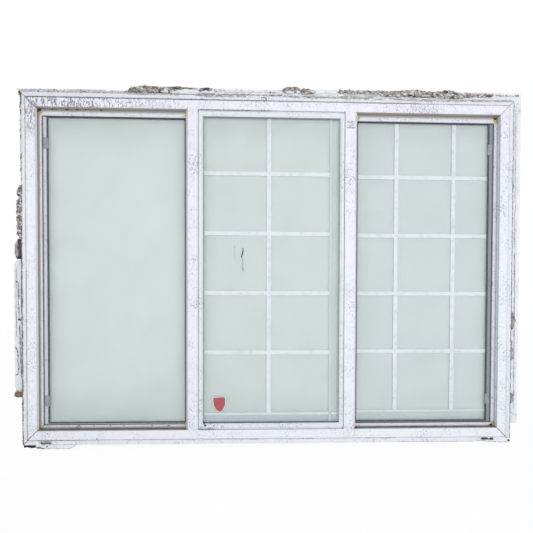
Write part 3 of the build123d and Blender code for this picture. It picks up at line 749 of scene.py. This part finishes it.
# Rows for lumps strewn in a box: each bound is low and high of x, depth and height, and
# sizes is the smallest and largest half size along each
def strewn(count, bounds, sizes, seed):
    dice = np.random.default_rng(seed)
    places = dice.uniform(*np.array(bounds, dtype=float).T, size=(count, 3))
    half = dice.uniform(*np.array(sizes, dtype=float).T, size=(count, 3))
    return np.concatenate((places, half * dice.uniform(0.6, 1.0, (count, 1))), 1)


frameEdges = (frameTop, frameBottom, frameLeft, frameRight)
topMm, bottomMm, leftMm, rightMm = (edge / mm for edge in frameEdges)
midMm = midHeight / mm

# Stucco that broke away with the head fin: rolls of (x, low, high) above the frame's top
headCrust = {
    "rolls": {
        "left": [(-617, 12, 30), (-608, 10, 36), (-580, 11, 38), (-563, 12, 45), (-505, 12, 42),
                 (-470, 14, 36), (-452, 16, 41), (-396, 22, 37)],
        "leftEnd": [(-400, 25, 38), (-360, 26, 39), (-322, 26, 37)],
        "nearLeft": [(-318, 25, 31), (-298, 26, 38), (-266, 26, 38), (-238, 25, 29)],
        "middle": [(42, 30, 36), (55, 24, 47), (80, 24, 52), (108, 25, 51), (126, 27, 42)],
        "middleEnd": [(122, 22, 38), (138, 20, 45), (165, 22, 43), (190, 25, 31)],
        "thin": [(286, 29, 36), (305, 29, 40), (355, 28, 42), (468, 28, 41), (482, 22, 38)],
        "thick": [(470, 22, 36), (500, 17, 40), (560, 18, 45), (606, 17, 48), (637, 17, 50),
                  (672, 16, 43), (703, 15, 41), (738, 14, 46), (770, 14, 50), (805, 14, 46),
                  (838, 15, 35), (852, 18, 26)],
        "redEnd": [(845, 20, 33), (900, 23, 33), (950, 24, 34), (975, 27, 33)],
    },
    "front": 25.0, "back": 34.0, "seed": 40, "rough": 1.0,
}


# Several rolls along the head, each with its own seed
def headRolls(look):
    parts = []
    for number, stations in enumerate(look["rolls"].values()):
        seed = look["seed"] + 3 * number
        parts.append(onHead(crustRoll(stations, look["front"], look["back"], seed, look["rough"])))
    return joinParts(parts)


addPiece("head_crust", *headRolls(headCrust), "stucco", "stucco", ["top_stucco"])

# Mortar smeared along the lip's upper edge, over the corner between lip and fin
lipMortar = {
    "rolls": {
        "left": [(-617, -3, 4), (-560, -6, 5), (-510, -6, 5), (-455, -4, 5), (-392, -6, 3)],
        "nearLeft": [(-345, -3, 3), (-300, -8, 2), (-228, -10, 2), (-165, -8, 2), (-108, -9, 0)],
        "middle": [(42, -3, 4), (100, -6, 4), (170, -7, 3), (240, -5, 4), (300, -5, 4)],
        "lump": [(292, -6, 7), (318, -8, 11), (352, -7, 10), (384, -6, 6), (408, -8, 5),
                 (430, -7, 10), (448, -7, 9), (462, -8, 2), (492, -8, -1)],
        "right": [(500, -5, 2), (560, -8, 2), (645, -11, 1), (700, -11, 1), (778, -10, 1),
                  (850, -8, 2), (910, -9, 2), (985, -7, 3), (1058, -6, 4)],
    },
    "front": 5.2, "back": 24.0, "seed": 90, "rough": 0.55,
}
addPiece("lip_mortar", *headRolls(lipMortar), "mortar", "stucco")

# Crust over the jambs' outer edges: rolls of (height over the middle, in, out)
edgeCrust = {
    "left": {
        "rolls": [[(360, -1, 7), (345, -2, 14), (331, -3, 20), (318, -3, 17), (303, -2, 11),
                   (289, -4, 20), (260, -3, 22), (226, -4, 21), (190, -3, 19), (165, -2, 20),
                   (154, -3, 19), (140, -4, 14), (126, -2, 7)]],
        "front": 4.5, "back": 34.0, "seed": 150, "rough": 1.0, "hand": -1,
        "finish": "edgeStucco",
    },
    "right": {
        "rolls": [[(-168, 0, 8), (-182, -1, 16), (-196, -1, 22), (-212, -1, 27), (-224, 0, 26),
                   (-236, -1, 19), (-248, -1, 15), (-262, 0, 9)],
                  [(-296, 0, 7), (-306, 0, 13), (-316, 0, 12), (-326, 0, 8), (-338, 0, 17),
                   (-346, 0, 16), (-354, 0, 13), (-366, 0, 18), (-378, 0, 20), (-386, 0, 16),
                   (-392, 0, 7)],
                  [(-536, 4, 16), (-543, 4, 24), (-551, 2, 25), (-556, 1, 16), (-562, 0, 24),
                   (-568, 0, 19), (-580, -1, 13), (-592, -1, 8)]],
        "front": 18.0, "back": 34.0, "seed": 160, "rough": 1.0, "hand": 1,
        "finish": "jambMortar",
    },
}


def makeEdgeCrust():
    for side, look in edgeCrust.items():
        parts = []
        for number, stations in enumerate(look["rolls"]):
            roll = crustRoll(stations, look["front"], look["back"], look["seed"] + number,
                             look["rough"])
            parts.append(onEdge(roll, look["hand"]))
        addPiece(f"{side}_crust", *joinParts(parts), look["finish"], "stucco",
                 [f"{side}_stucco"])


makeEdgeCrust()
print("crust in place")

# Curled flashing: a sheet bent in an arc, its upper end torn to a point. Sections are rings
# of (across, depth) from the jamb's edge. At share s of the way up, the arc's reach is
#   1 - tear * (s - tearFrom)^2 above tearFrom, and 1 - foot * (1 - s / footTo) below footTo.
# It shrinks towards the depth "root", starts "into" mm past the jamb's edge, and sways by
# "ripple" as sin(waves * s)
flashing = {
    "outer": [(0, 30.0), (-8, 29.0), (-15, 26.4), (-20.6, 22.0), (-24.6, 15.6), (-27, 8)],
    "thickness": 1.2, "rings": 14, "tear": 3.2, "tearFrom": 0.55, "foot": 0.12, "footTo": 0.2,
    "root": 30, "into": 0.6, "ripple": 0.5, "waves": 17,
}


def makeFlashing():
    look = flashing
    low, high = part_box("flashing_curl")
    arc = np.array(look["outer"], dtype=float)
    ring = np.concatenate((arc, arc[::-1] + (-0.4 * look["thickness"], look["thickness"])))
    sections = []
    for share in np.linspace(0, 1, look["rings"]):
        torn = look["tear"] * max(share - look["tearFrom"], 0) ** 2
        reach = 1 - torn - look["foot"] * max(look["footTo"] - share, 0) / look["footTo"]
        height = (low.z + (high.z - low.z) * share) / mm
        ripple = look["ripple"] * math.sin(share * look["waves"])
        depth = ring[:, 1] * reach + look["root"] * (1 - reach)
        sections.append(np.stack((leftMm - look["into"] + ring[:, 0] * reach + ripple,
                                  depth + frameFace / mm,
                                  np.full(len(ring), height)), -1))
    addPiece("curled_flashing", np.concatenate(sections), skinFaces(look["rings"], len(ring)),
             "flashing", "flashing", ["flashing_curl"])


makeFlashing()

# Crumbs of mortar and dirt along the outer edges, and flakes of plaster and red paint on the
# head. A row is how many, their bounds in x, depth and height, and a seed; a single one is
# placed by itself. Heights are over the place that "over" gives
litter = {
    "stucco_crumbs": {
        "finish": "stucco", "sizes": [(1.5, 4.5), (1.5, 3.5), (1.0, 2.5)], "over": topMm,
        "seed": 210, "rough": 0.3, "turn": 0.5,
        "rows": [(70, (-616, -395), (20, 32), (12, 40), 204),
                 (46, (-1050, -616), (29, 32), (8, 23), 207),
                 (60, (286, 850), (20, 32), (22, 44), 205),
                 (40, (970, 1095), (30, 33), (30, 34), 206)],
    },
    "dirt_crumbs": {
        "finish": "dirt", "sizes": [(0.8, 2.4), (1.0, 3.0), (2.0, 8.0)], "over": 0,
        "seed": 211, "rough": 0.3, "turn": 0.5,
        "rows": [(60, (leftMm - 3.5, leftMm + 0.5), (7, 22), (midMm + 650, topMm - 6), 200),
                 (60, (leftMm - 2.0, leftMm + 0.5), (7, 22), (midMm + 360, midMm + 650), 201),
                 (110, (leftMm - 2.0, leftMm + 1.5), (7, 22), (bottomMm + 14, midMm + 40), 202),
                 (260, (rightMm - 0.5, rightMm + 2.5), (9, 30), (bottomMm + 10, topMm - 4), 203)],
    },
    "plaster_flakes": {
        "finish": "plaster", "sizes": [(2.5, 8.0), (1.0, 2.0), (1.2, 3.4)], "over": topMm,
        "seed": 220, "rough": 0.2, "turn": 0.5,
        "rows": [(26, (-600, -400), (18, 20), (14, 34), 211),
                 (60, (-1050, -640), (29, 31), (10, 22), 218),
                 (110, (-400, 290), (29, 33), (16, 38), 212),
                 (30, (286, 480), (20, 30), (18, 30), 213),
                 (16, (480, 850), (18, 20), (18, 40), 214),
                 (12, (430, 500), (4, 6), (-4, 4), 215),
                 (14, (-100, 42), (5, 7), (-6, -2), 216)],
        "single": [(-1071, 27, 16, 12, 2.5, 5), (333, -0.2, -116, 9, 0.8, 5),
                   (346, -0.2, -121, 10, 0.8, 4.5), (-36, 6.9, -13, 9, 0.6, 6)],
    },
    "red_paint_flakes": {
        "finish": "redPaint", "sizes": [(2.0, 6.0), (0.8, 1.4), (0.8, 1.6)], "over": topMm,
        "seed": 231, "rough": 0.2, "turn": 0.2,
        "rows": [(46, (845, 972), (18, 21), (29, 37), 230)],
    },
}


def makeLitter():
    for name, look in litter.items():
        over = look["over"]
        rows = [(x, depth, over + rise, *half) for x, depth, rise, *half in look.get("single", ())]
        for count, across, depth, rises, seed in look["rows"]:
            heights = [over + rise for rise in rises]
            rows.extend(strewn(count, [across, depth, heights], look["sizes"], seed))
        pieces = lumps(rows, look["seed"], look["rough"], look["turn"])
        addPiece(name, *pieces, look["finish"], "stucco")


makeLitter()


# A flat piece between two depths: its outline is (x, height over an edge of the frame)
def slab(outline, edge, depths):
    outline = np.array(outline, dtype=float)
    rings = [np.stack((outline[:, 0], np.full(len(outline), frameFace / mm + depth),
                       edge + outline[:, 1]), -1) for depth in depths]
    return np.concatenate(rings), skinFaces(2, len(outline))


def softenEdges(piece, width):
    bevel = piece.modifiers.new("soft edge", "BEVEL")
    bevel.width = width * mm
    bevel.segments = 2


# Chips of white paint stuck on the head's crust: a depth and an outline over the frame's top
whiteChips = {
    "chips": [
        (20.5, [(-471, 15), (-443, 14), (-447, 24), (-455, 34), (-460, 32), (-464, 23)]),
        (20.0, [(-434, 11), (-380, 9), (-318, 10), (-310, 17), (-322, 26), (-343, 30),
                (-352, 28), (-376, 31), (-390, 25), (-404, 26), (-417, 20), (-436, 17)]),
        (23.0, [(-309, 17), (-280, 15), (-248, 16), (-244, 21), (-252, 27), (-270, 24),
                (-287, 27), (-306, 22)]),
        (20.5, [(60, 22), (96, 21), (94, 28), (80, 31), (66, 30)]),
        (20.5, [(104, 22), (122, 22), (120, 30), (108, 31)]),
    ],
    "thickness": 9.0, "bevel": 1.0,
}


def makeWhiteChips():
    look = whiteChips
    parts = [slab(outline, topMm, (depth, depth + look["thickness"]))
             for depth, outline in look["chips"]]
    piece = addPiece("white_chips", *joinParts(parts), "whiteChip", "stucco", smooth=False)
    softenEdges(piece, look["bevel"])


makeWhiteChips()

# Old sealant squeezed out at the inner corners of both side lites: x, depth and height from
# the frame's top or bottom, then the half sizes
sealantBlobs = {
    "seed": 240, "rough": 0.12, "turn": 0.2,
    "top": [(-996, 35.5, -75, 6.0, 4.0, 4.0), (-989, 35.5, -78, 5.5, 4.0, 7.0),
            (-365.5, 11.5, -84, 6.0, 3.0, 10.5), (367, 11.5, -83, 5.5, 3.0, 8.0),
            (375, 20, -84, 5.0, 3.0, 6.0), (992, 35.5, -81, 9.0, 4.0, 10.5)],
    "bottom": [(-994.5, 35.5, 72, 6.0, 4.0, 5.5), (-366.5, 11.5, 77, 3.5, 3.0, 7.0),
               (367.5, 11.5, 76, 5.5, 3.0, 9.0), (995, 35.5, 77, 7.5, 4.0, 6.5),
               (1004, 26, 68, 3.0, 3.0, 3.0)],
}


def makeSealant():
    look = sealantBlobs
    rows = [(x, depth, edge + rise, *half)
            for edge, places in ((topMm, look["top"]), (bottomMm, look["bottom"]))
            for x, depth, rise, *half in places]
    blobs = lumps(rows, look["seed"], look["rough"], look["turn"])
    addPiece("sealant_blobs", *blobs, "sealant", "gasket")


makeSealant()
print("crumbs, flakes and sealant in place")

# Red shield of film on the middle lite's outer pane. At share s of the way down, its sides
# are halfWidth * (1 - s^taper) from its middle, and its upper edge rises in an arc. The rim
# and the film are layers, each of three rings of that outline: (rise in thicknesses, growth)
shield = {
    "middle": (-225.0, midMm - 580.0), "halfWidth": 25.5, "top": 29.0, "foot": 33.5,
    "taper": 3.7, "crown": 2.5, "bend": 1.3, "thickness": 0.4, "lean": 0.06,
    "layers": {"shield_rim": ("rimFilm", [(0, 1.12), (0.5, 1.12), (0.6, 1.09)]),
               "red_shield": ("redFilm", [(0.7, 1.0), (1.4, 1.0), (1.7, 0.97)])},
}
paneGap = 0.1  # mm that film and drips stand off the glass


def makeShield():
    look = shield
    share = np.linspace(0, 1, 15)
    side = look["halfWidth"] * (1 - share ** look["taper"])
    down = look["top"] - share * (look["top"] + look["foot"])
    outline = np.concatenate((np.stack((side, down), -1), np.stack((-side, down), -1)[-2::-1]))
    way = np.linspace(-1, 1, 7)[1:-1]
    rise = look["top"] + look["crown"] * np.cos(way * look["bend"])
    outline = np.concatenate((outline, np.stack((way * look["halfWidth"], rise), -1)))
    across = outline[:, 0] * math.cos(look["lean"]) - outline[:, 1] * math.sin(look["lean"])
    high = outline[:, 0] * math.sin(look["lean"]) + outline[:, 1] * math.cos(look["lean"])
    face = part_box("centre_outer_glass")[0].y / mm - paneGap
    for name, (finish, levels) in look["layers"].items():
        rings = [np.stack((look["middle"][0] + across * grow,
                           np.full(len(across), face - look["thickness"] * rise),
                           look["middle"][1] + high * grow), -1) for rise, grow in levels]
        addPiece(name, np.concatenate(rings), skinFaces(3, len(across)), finish, "grille",
                 smooth=False)


makeShield()

# How finely a strand is cut, the size of the waves that sway and swell it, its usual share of
# the half width, how far it swells from there and its least share, and its section as
# (across, depth) in half widths
strandShape = {"step": 3.0, "fewest": 3, "swayWave": 28, "swellWave": 9, "usual": 0.7,
               "swell": 0.45, "least": 0.25,
               "section": [(-1, 0.0), (-0.6, -0.34), (0.6, -0.34), (1, 0.0)]}


# A flattened strand laid on a surface along a path of points in elevation
def strand(path, depth, half, seed, sway):
    look = strandShape
    path = np.array(path, dtype=float)
    lengths = np.concatenate(([0], np.cumsum(np.linalg.norm(np.diff(path, axis=0), axis=1))))
    count = max(int(lengths[-1] / look["step"]), look["fewest"])
    along = np.linspace(0, lengths[-1], count)
    middle = np.stack([np.interp(along, lengths, path[:, side]) for side in (0, 1)], -1)
    way = np.gradient(middle, axis=0)
    way /= np.linalg.norm(way, axis=1)[:, None]
    aside = np.stack((-way[:, 1], way[:, 0]), -1)
    place = np.stack((along, 0 * along, 0 * along), -1)
    middle = middle + aside * (ripples(place, look["swayWave"], seed) * sway)[:, None]
    swell = look["swell"] * ripples(place, look["swellWave"], seed + 1)
    wide = half * np.maximum(look["usual"] + swell, look["least"])
    wide *= np.minimum(1, np.minimum(np.arange(count), np.arange(count)[::-1]) / 2 + 0.3)
    corners = np.array(look["section"])
    spread = wide[:, None] * corners[:, 0]
    points = np.stack((middle[:, :1] + aside[:, :1] * spread,
                       depth + wide[:, None] * corners[:, 1],
                       middle[:, 1:] + aside[:, 1:] * spread), -1)
    return points.reshape(-1, 3) + (0, frameFace / mm, 0), skinFaces(count, 4)


# Runs of residue down the middle lite's outer pane: a path from the middle height and a half
# width
drips = {
    "glass_drips": {
        "finish": "drip",
        "runs": [([(-125, 100), (-124, 84), (-127, 72), (-131, 62), (-127, 52)], 3.8),
                 ([(-128, 52), (-125, 38)], 2.2), ([(-162, 109), (-159, 100)], 2.6)],
    },
    "faint_drips": {
        "finish": "faintDrip",
        "runs": [([(-125, 42), (-125, 20), (-124, 6), (-125, -4)], 3.0),
                 ([(-158, 99), (-161, 84), (-157, 70), (-160, 46)], 1.1)],
    },
}
dripSeed, dripSway = 260, 0.8


def makeDrips():
    depth = (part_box("centre_outer_glass")[0].y - frameFace) / mm - paneGap
    for name, look in drips.items():
        parts = []
        for number, (path, half) in enumerate(look["runs"]):
            places = [(x, midMm + high) for x, high in path]
            parts.append(strand(places, depth, half, dripSeed + number, dripSway))
        addPiece(name, *joinParts(parts), look["finish"], "gasket")


makeDrips()

# Grime packed along edges and joints, and scores in the vinyl. A line is a depth, a half
# width and a path of (x, height), heights from the frame's top when under "top", else its
# bottom
lipDepth, faceDepth, finDepth, stripDepth, railDepth = 6.9, -0.05, 30.9, 4.7, 35.6
grimeLines = {
    "top": [
        (lipDepth, 1.4, [(leftMm + 0.5, -3), (leftMm + 1.0, -30), (leftMm - 0.5, -64),
                         (leftMm + 0.5, -90)]),
        (lipDepth, 0.8, [(leftMm + 0.8, -90), (leftMm + 0.6, -330)]),
        (lipDepth, 1.1, [(rightMm - 0.8, 0), (rightMm - 0.6, -400)]),
        (lipDepth, 2.6, [(-47, -6), (-27, -6), (-25, -19)]),
        (lipDepth, 1.4, [(-46, -6), (-46, -19)]),
        (faceDepth, 1.2, [(-35, -24), (-34, -31)]),
        (2.9, 1.9, [(-312, -62.4), (-240, -62.6), (-150, -62.4), (-60, -62.5), (-5, -62.4)]),
        (finDepth, 0.9, [(-230, 15), (-120, 16), (0, 15), (60, 16)]),
    ],
    "bottom": [
        (lipDepth, 1.9, [(leftMm + 0.8, 4), (leftMm + 1.0, 210), (leftMm + 0.6, 480)]),
        (lipDepth, 1.5, [(leftMm + 0.6, 480), (leftMm + 0.2, 700), (leftMm + 0.6, 960)]),
        (lipDepth, 1.2, [(rightMm - 0.9, 3), (rightMm - 0.7, 500), (rightMm - 0.9, 1100)]),
        (lipDepth, 1.1, [(leftMm + 3, 3), (leftMm + 22, 20)]),
        (lipDepth, 0.6, [(leftMm + 26, 22), (leftMm + 48, 9)]),
        (stripDepth, 0.7, [(leftMm + 62, 18.6), (leftMm + 222, 18.8)]),
        (stripDepth, 0.7, [(leftMm + 60, -14.5), (leftMm + 200, -14.8)]),
        (stripDepth, 0.6, [(leftMm + 110, 2), (leftMm + 222, 2.5)]),
        (stripDepth, 0.7, [(leftMm + 202, -14.5), (leftMm + 227, 2), (leftMm + 221, 18)]),
        (3.2, 1.3, [(leftMm + 70, 5), (leftMm + 76, 14), (leftMm + 96, 17), (leftMm + 114, 14),
                    (leftMm + 121, 5)]),
        (faceDepth, 1.4, [(rightMm - 60, 60), (rightMm - 42, 42), (rightMm - 24, 25)]),
        (lipDepth, 1.5, [(rightMm - 20, 20), (rightMm - 2, 2)]),
        (faceDepth, 1.3, [(leftMm + 58, 59), (leftMm + 40, 41), (leftMm + 24, 25)]),
        (1.9, 1.1, [(-318, 66), (-290, 65), (-242, 66)]),
        (lipDepth, 0.8, [(130, 20), (190, 19)]),
        (lipDepth, 0.8, [(-140, 18), (-50, 19)]),
        (lipDepth, 0.8, [(480, 19), (550, 20)]),
        (5.4, 1.0, [(905, 8), (960, 2), (1010, -2), (1052, -3)]),
    ],
}
scoreLines = {
    "top": [
        (finDepth, 1.5, [(1081, -42), (1084, -700), (1088, -1360)]),
        (finDepth, 1.3, [(1063, -33), (1104, -32.5)]),
        (finDepth, 1.1, [(-390, 12), (-150, 13), (60, 12), (280, 12)]),
        (finDepth, 0.8, [(-380, 26), (-200, 25), (-20, 27), (30, 26)]),
        (faceDepth, 1.0, [(321, -105), (340, -103), (358, -104)]),
        (faceDepth, 0.7, [(-1029, -132), (-1020, -138), (-1010, -131), (-1000, -137)]),
        (faceDepth, 0.6, [(-1024, -150), (-1014, -146)]),
    ],
    "bottom": [
        (finDepth, 1.0, [(1066, 130), (1108, 104)]),
        (finDepth, 1.4, [(1067, 132), (1066, 160)]),
        (faceDepth, 0.6, [(-975, 61), (-975, 26)]),
        (faceDepth, 0.6, [(-963, 61), (-963, 26)]),
        (lipDepth, 0.7, [(1000, 14), (1010, 6), (1024, 5)]),
        (lipDepth, 1.0, [(560, 1.5), (760, 2), (900, 1.5)]),
    ],
}
# Deep scores and dents in the left fin, and the dark line along the head's lip, which is grime
# with the painted shadow of the groove beside it
finScoresAndLipShadow = {
    "top": [
        (finDepth, 2.6, [(-1092, -702), (-1080, -701), (-1064, -702)]),
        (finDepth, 1.9, [(-1086, -800), (-1085, -900), (-1084, -962)]),
        (finDepth, 2.3, [(-1073, -815), (-1073, -935)]),
        (finDepth, 2.2, [(-1082, -985), (-1080, -1090), (-1075, -1212)]),
        (finDepth, 2.2, [(-1101, -1078), (-1092, -1095), (-1089, -1130)]),
        (finDepth, 1.9, [(-1092, -1130), (-1086, -1166), (-1090, -1195), (-1100, -1203)]),
        (finDepth, 1.0, [(-1094, -740), (-1096, -900), (-1095, -1040)]),
        (finDepth, 2.0, [(-1103, -1270), (-1086, -1271), (-1069, -1269)]),
        # Grime and painted shadow along the head's lip, at the groove
        (lipDepth, 1.9, [(-1036, -18.9), (-700, -18.7), (-350, -18.9), (-20, -18.8)]),
        (lipDepth, 1.3, [(-20, -18.8), (360, -18.9), (640, -18.8)]),
    ],
}
# Tan smears on the right mullion and on the sashes' rails, and the painted shadow of the plaster
# flakes on the mullion
smearsAndShadow = {
    "top": [
        (faceDepth, 3.3, [(321, -130), (340, -128), (350, -131), (360, -129)]),
        # Painted shadow of the plaster flakes on the mullion
        (faceDepth, 2.6, [(332, -107), (346, -112), (360, -119)]),
        (faceDepth, 1.2, [(321, -106), (332, -107), (340, -105), (358, -106)]),
        (railDepth, 4.0, [(366, -77), (388, -78)]),
    ],
    "bottom": [(railDepth, 7.5, [(-850, 69), (-838, 70), (-826, 70)])],
}
# Black spots, mostly in the tracks and at the corners of the lites: x, depth, height and half
# sizes, heights as above
sootSpots = {
    "top": [
        (-362, 12, -68, 4.5, 2, 4.0), (606, 24.5, 23, 10, 2, 3.6), (-1067, 14, -6, 4, 4, 9),
        (-7, 30.4, 26, 3.4, 0.8, 3.4), (-938, 30, -64, 4, 2, 2.2), (-922, 30, -64, 2.5, 2, 1.6),
        (-876, 30, -64, 6, 2, 1.8), (-833, 30, -64, 5, 2, 1.8), (-796, 30, -63.5, 3, 2, 1.6),
        (-732, 30, -64, 5, 2, 1.8), (-1060, 10, -20, 2, 3, 5), (-1061, 10, -50, 2, 3, 7),
        (986, 28, -70, 10, 3, 3.6), (-990, 30, -67, 6, 3, 4.0), (-999, 30, -72, 4, 3, 3.0),
    ],
    "bottom": [
        (-362, 12, 65.5, 8.5, 2.5, 4.5), (368, 12, 66, 6.5, 2.5, 4.5), (314, 6, 68, 2.5, 2, 2.5),
        (rightMm - 5, 6, 5, 6, 1.5, 4.5), (1002, 20, 64.5, 8, 3, 4.5), (984, 30, 67, 7, 3, 3.5),
        (-952, -0.1, 51, 2.4, 0.5, 2.0), (-746, -0.1, 27, 2, 0.5, 4),
        (leftMm + 104, 4.2, -5, 4, 0.8, 2.2), (-290, 4.5, 90, 2.6, 1.5, 7),
        (-284, 4.0, 81, 7, 1.5, 4), (-248, 4.0, 79.5, 4, 1.5, 2.0),
    ],
}
# Brown bits on the head's crust, the fins and the right jamb, and on the sill's leg, its strip
# and the beads
brownSpots = {
    "top": [
        (-410, 24, 36, 22, 3, 6), (-284, 24, 35, 14, 3, 4.5), (-1081, 30.5, -963, 6, 0.8, 4),
        (-1070, 30.5, -780, 3, 0.8, 9), (-1093, 30.5, -800, 4, 0.8, 3), (-350, 23, 33, 12, 2, 2.0),
        (-445, 24, 20, 5, 2, 8), (1030, 6.6, -1044, 5, 0.5, 4), (1036, 6.6, -1058, 4, 0.5, 5),
        (1018, 6.7, -100, 1.5, 0.4, 2),
    ],
    "bottom": [
        (950, 6.2, 12.5, 17, 1.2, 5.4), (979, 6.2, 11.5, 9, 1.3, 5.4),
        (leftMm + 56, 6, -7, 9, 1.5, 3.2), (leftMm + 70, 5, -9, 10, 1.5, 2.6),
        (leftMm + 96, 4.2, 7, 3, 0.9, 4), (leftMm + 84, 4.0, 4, 12, 0.8, 1.8),
        (leftMm + 116, 4.0, 8, 2, 0.8, 5), (-700, 35.7, 74, 3, 0.6, 1.6),
        (-640, 35.7, 73, 5, 0.6, 1.4), (-520, 35.7, 74, 4, 0.6, 1.6),
        (-450, 35.7, 73, 6, 0.6, 1.4), (-770, 35.7, 74, 3, 0.6, 1.5),
        (-250, 2.6, 77, 3, 0.5, 1.6), (-215, 2.6, 75, 2, 0.5, 2.2), (-205, 2.6, 74, 2, 0.5, 1.4),
        (-120, 11.4, 90, 5, 0.7, 2.2), (-60, 11.4, 89.5, 8, 0.7, 1.6),
        (leftMm + 68, 6.4, -10, 8, 1.2, 4), (leftMm + 84, 4.2, -13, 8, 0.8, 2.2),
    ],
}


# Each piece of marks: its finish, its lines or spots, and its seed. Lines sway, and spots are
# roughened and turned, by what markLook says
markLines = {
    "grime_lines": ("grime", grimeLines, 300), "score_lines": ("score", scoreLines, 340),
    "fin_scores_and_lip_shadow": ("deepScore", finScoresAndLipShadow, 360), "tan_smears_and_shadow": ("smear", smearsAndShadow, 370),
}
markSpots = {"soot_spots": ("soot", sootSpots, 380), "brown_spots": ("grime", brownSpots, 390)}
markLook = {"sway": 0.35, "rough": 0.35, "turn": 0.12}


def makeMarks():
    look = markLook
    edges = {"top": topMm, "bottom": bottomMm}
    for name, (finish, lines, seed) in markLines.items():
        parts = [strand([(x, edges[side] + high) for x, high in path], depth, half,
                        seed + number, look["sway"])
                 for side in lines for number, (depth, half, path) in enumerate(lines[side])]
        addPiece(name, *joinParts(parts), finish, "vinyl")
    for name, (finish, spots, seed) in markSpots.items():
        rows = [(x, depth, edges[side] + high, *half)
                for side in edges for x, depth, high, *half in spots[side]]
        addPiece(name, *lumps(rows, seed, look["rough"], look["turn"]), finish, "vinyl")


makeMarks()

# Strip torn loose under the sill's right corner
cornerStrip = {
    "outline": [(900, 9), (940, 2), (1000, -4), (1040, -6.5), (1058, -5), (1062, 3), (1058, 14),
                (990, 7), (935, 10)],
    "back": 6.8, "front": 5.6, "bevel": 0.3,
}


def makeCornerStrip():
    look = cornerStrip
    sheet = slab(look["outline"], bottomMm, (look["back"], look["front"]))
    piece = addPiece("corner_strip", *sheet, "strip", "vinyl", smooth=False)
    softenEdges(piece, look["bevel"])


makeCornerStrip()
print("shield, drips, marks and corner strip in place")


# Camera: straight on, a little left of the middle, as the photograph was taken
cameraLook = {
    "across": -0.019, "distance": 2.1, "aboveMiddle": -0.0868,
    "yaw": 2.279, "pitch": -1.207, "roll": 0.21,
    "focalPixels": 486.22, "shiftPixels": (20.0, 35.0), "imagePixels": 533.0,
    "sensor": 36.0,
}


def makeCamera():
    look = cameraLook
    yaw, pitch, roll = (math.radians(look[name]) for name in ("yaw", "pitch", "roll"))
    forward = Vector((math.sin(yaw) * math.cos(pitch), math.cos(yaw) * math.cos(pitch),
                      math.sin(pitch)))
    level = Vector((math.cos(yaw), -math.sin(yaw), 0))
    upright = level.cross(forward)
    across = math.cos(roll) * level + math.sin(roll) * upright
    up = math.cos(roll) * upright - math.sin(roll) * level
    camera = bpy.data.objects.new("camera", bpy.data.cameras.new("camera"))
    bpy.context.scene.collection.objects.link(camera)
    turn = Matrix((across, up, -forward)).transposed()
    camera.matrix_world = Matrix.Translation(
        (look["across"], frameFace - look["distance"], midHeight + look["aboveMiddle"])
    ) @ turn.to_4x4()
    camera.data.sensor_width = look["sensor"]
    camera.data.lens = look["focalPixels"] / look["imagePixels"] * look["sensor"]
    camera.data.shift_x = -look["shiftPixels"][0] / look["imagePixels"]
    camera.data.shift_y = look["shiftPixels"][1] / look["imagePixels"]
    bpy.context.scene.camera = camera


makeCamera()

# Studio: a white surround that lights softly, one broad lamp and a pale floor. Seen by the
# camera, in a mirror or through glass, the surround and the floor show white
studioLook = {
    "worldLight": 0.62, "lampPower": 56.0, "lampSize": 3.0, "lampRatio": 0.7,
    "lampAcross": 0.6, "lampAway": 3.3, "lampDrop": 0.1,
    "floorSize": 14.0, "floorDrop": 0.002, "floorWhite": 0.95, "floorGlow": 0.95,
}


def seenDirectly(bench):
    path = bench.node("ShaderNodeLightPath", output="Is Camera Ray")
    return path.most(path.pick("Is Glossy Ray")).most(path.pick("Is Transmission Ray"))


def makeStudio():
    look = studioLook
    scene = bpy.context.scene
    scene.view_settings.view_transform = "Standard"
    world = bpy.data.worlds.new("white surround")
    scene.world = world
    world.use_nodes = True
    bench = Wire(world.node_tree)
    background = world.node_tree.nodes["Background"]
    background.inputs["Color"].default_value = (1.0, 1.0, 1.0, 1.0)
    seen = seenDirectly(bench)
    strength = seen + (1 - seen) * look["worldLight"]
    bench.tree.links.new(strength.socket, background.inputs["Strength"])

    lampData = bpy.data.lights.new("broad lamp", "AREA")
    lampData.shape = "RECTANGLE"
    lampData.size = look["lampSize"]
    lampData.size_y = look["lampSize"] * look["lampRatio"]
    lampData.energy = look["lampPower"]
    lamp = bpy.data.objects.new("broad lamp", lampData)
    scene.collection.objects.link(lamp)
    lamp.visible_glossy = False  # the panes would mirror it
    place = Vector((look["lampAcross"], -look["lampAway"], midHeight - look["lampDrop"]))
    facing = (Vector((0.0, 0.0, midHeight)) - place).to_track_quat("-Z", "Y")
    lamp.matrix_world = Matrix.Translation(place) @ facing.to_matrix().to_4x4()

    half = look["floorSize"] / 2
    low = cadBox[0].z - look["floorDrop"]
    mesh = bpy.data.meshes.new("floor")
    corners = [(-half, -half, low), (half, -half, low), (half, half, low), (-half, half, low)]
    mesh.from_pydata(corners, [], [(0, 1, 2, 3)])
    floor = bpy.data.objects.new("floor", mesh)
    scene.collection.objects.link(floor)
    material, floorBench, shader = startMaterial("pale floor")
    shader.inputs["Base Color"].default_value = (*[look["floorWhite"]] * 3, 1.0)
    shader.inputs["Roughness"].default_value = 0.9
    glow = floorBench.node("ShaderNodeEmission", inputs={"Strength": 1.0})
    share = seenDirectly(floorBench) * look["floorGlow"]
    matt = Wire(floorBench.tree, shader.outputs[0])
    surface = floorBench.node("ShaderNodeMixShader", inputs={0: share, 1: matt, 2: glow})
    output = material.node_tree.nodes["Material Output"]
    floorBench.tree.links.new(surface.socket, output.inputs["Surface"])
    mesh.materials.append(material)


makeStudio()
print("camera and studio ready")
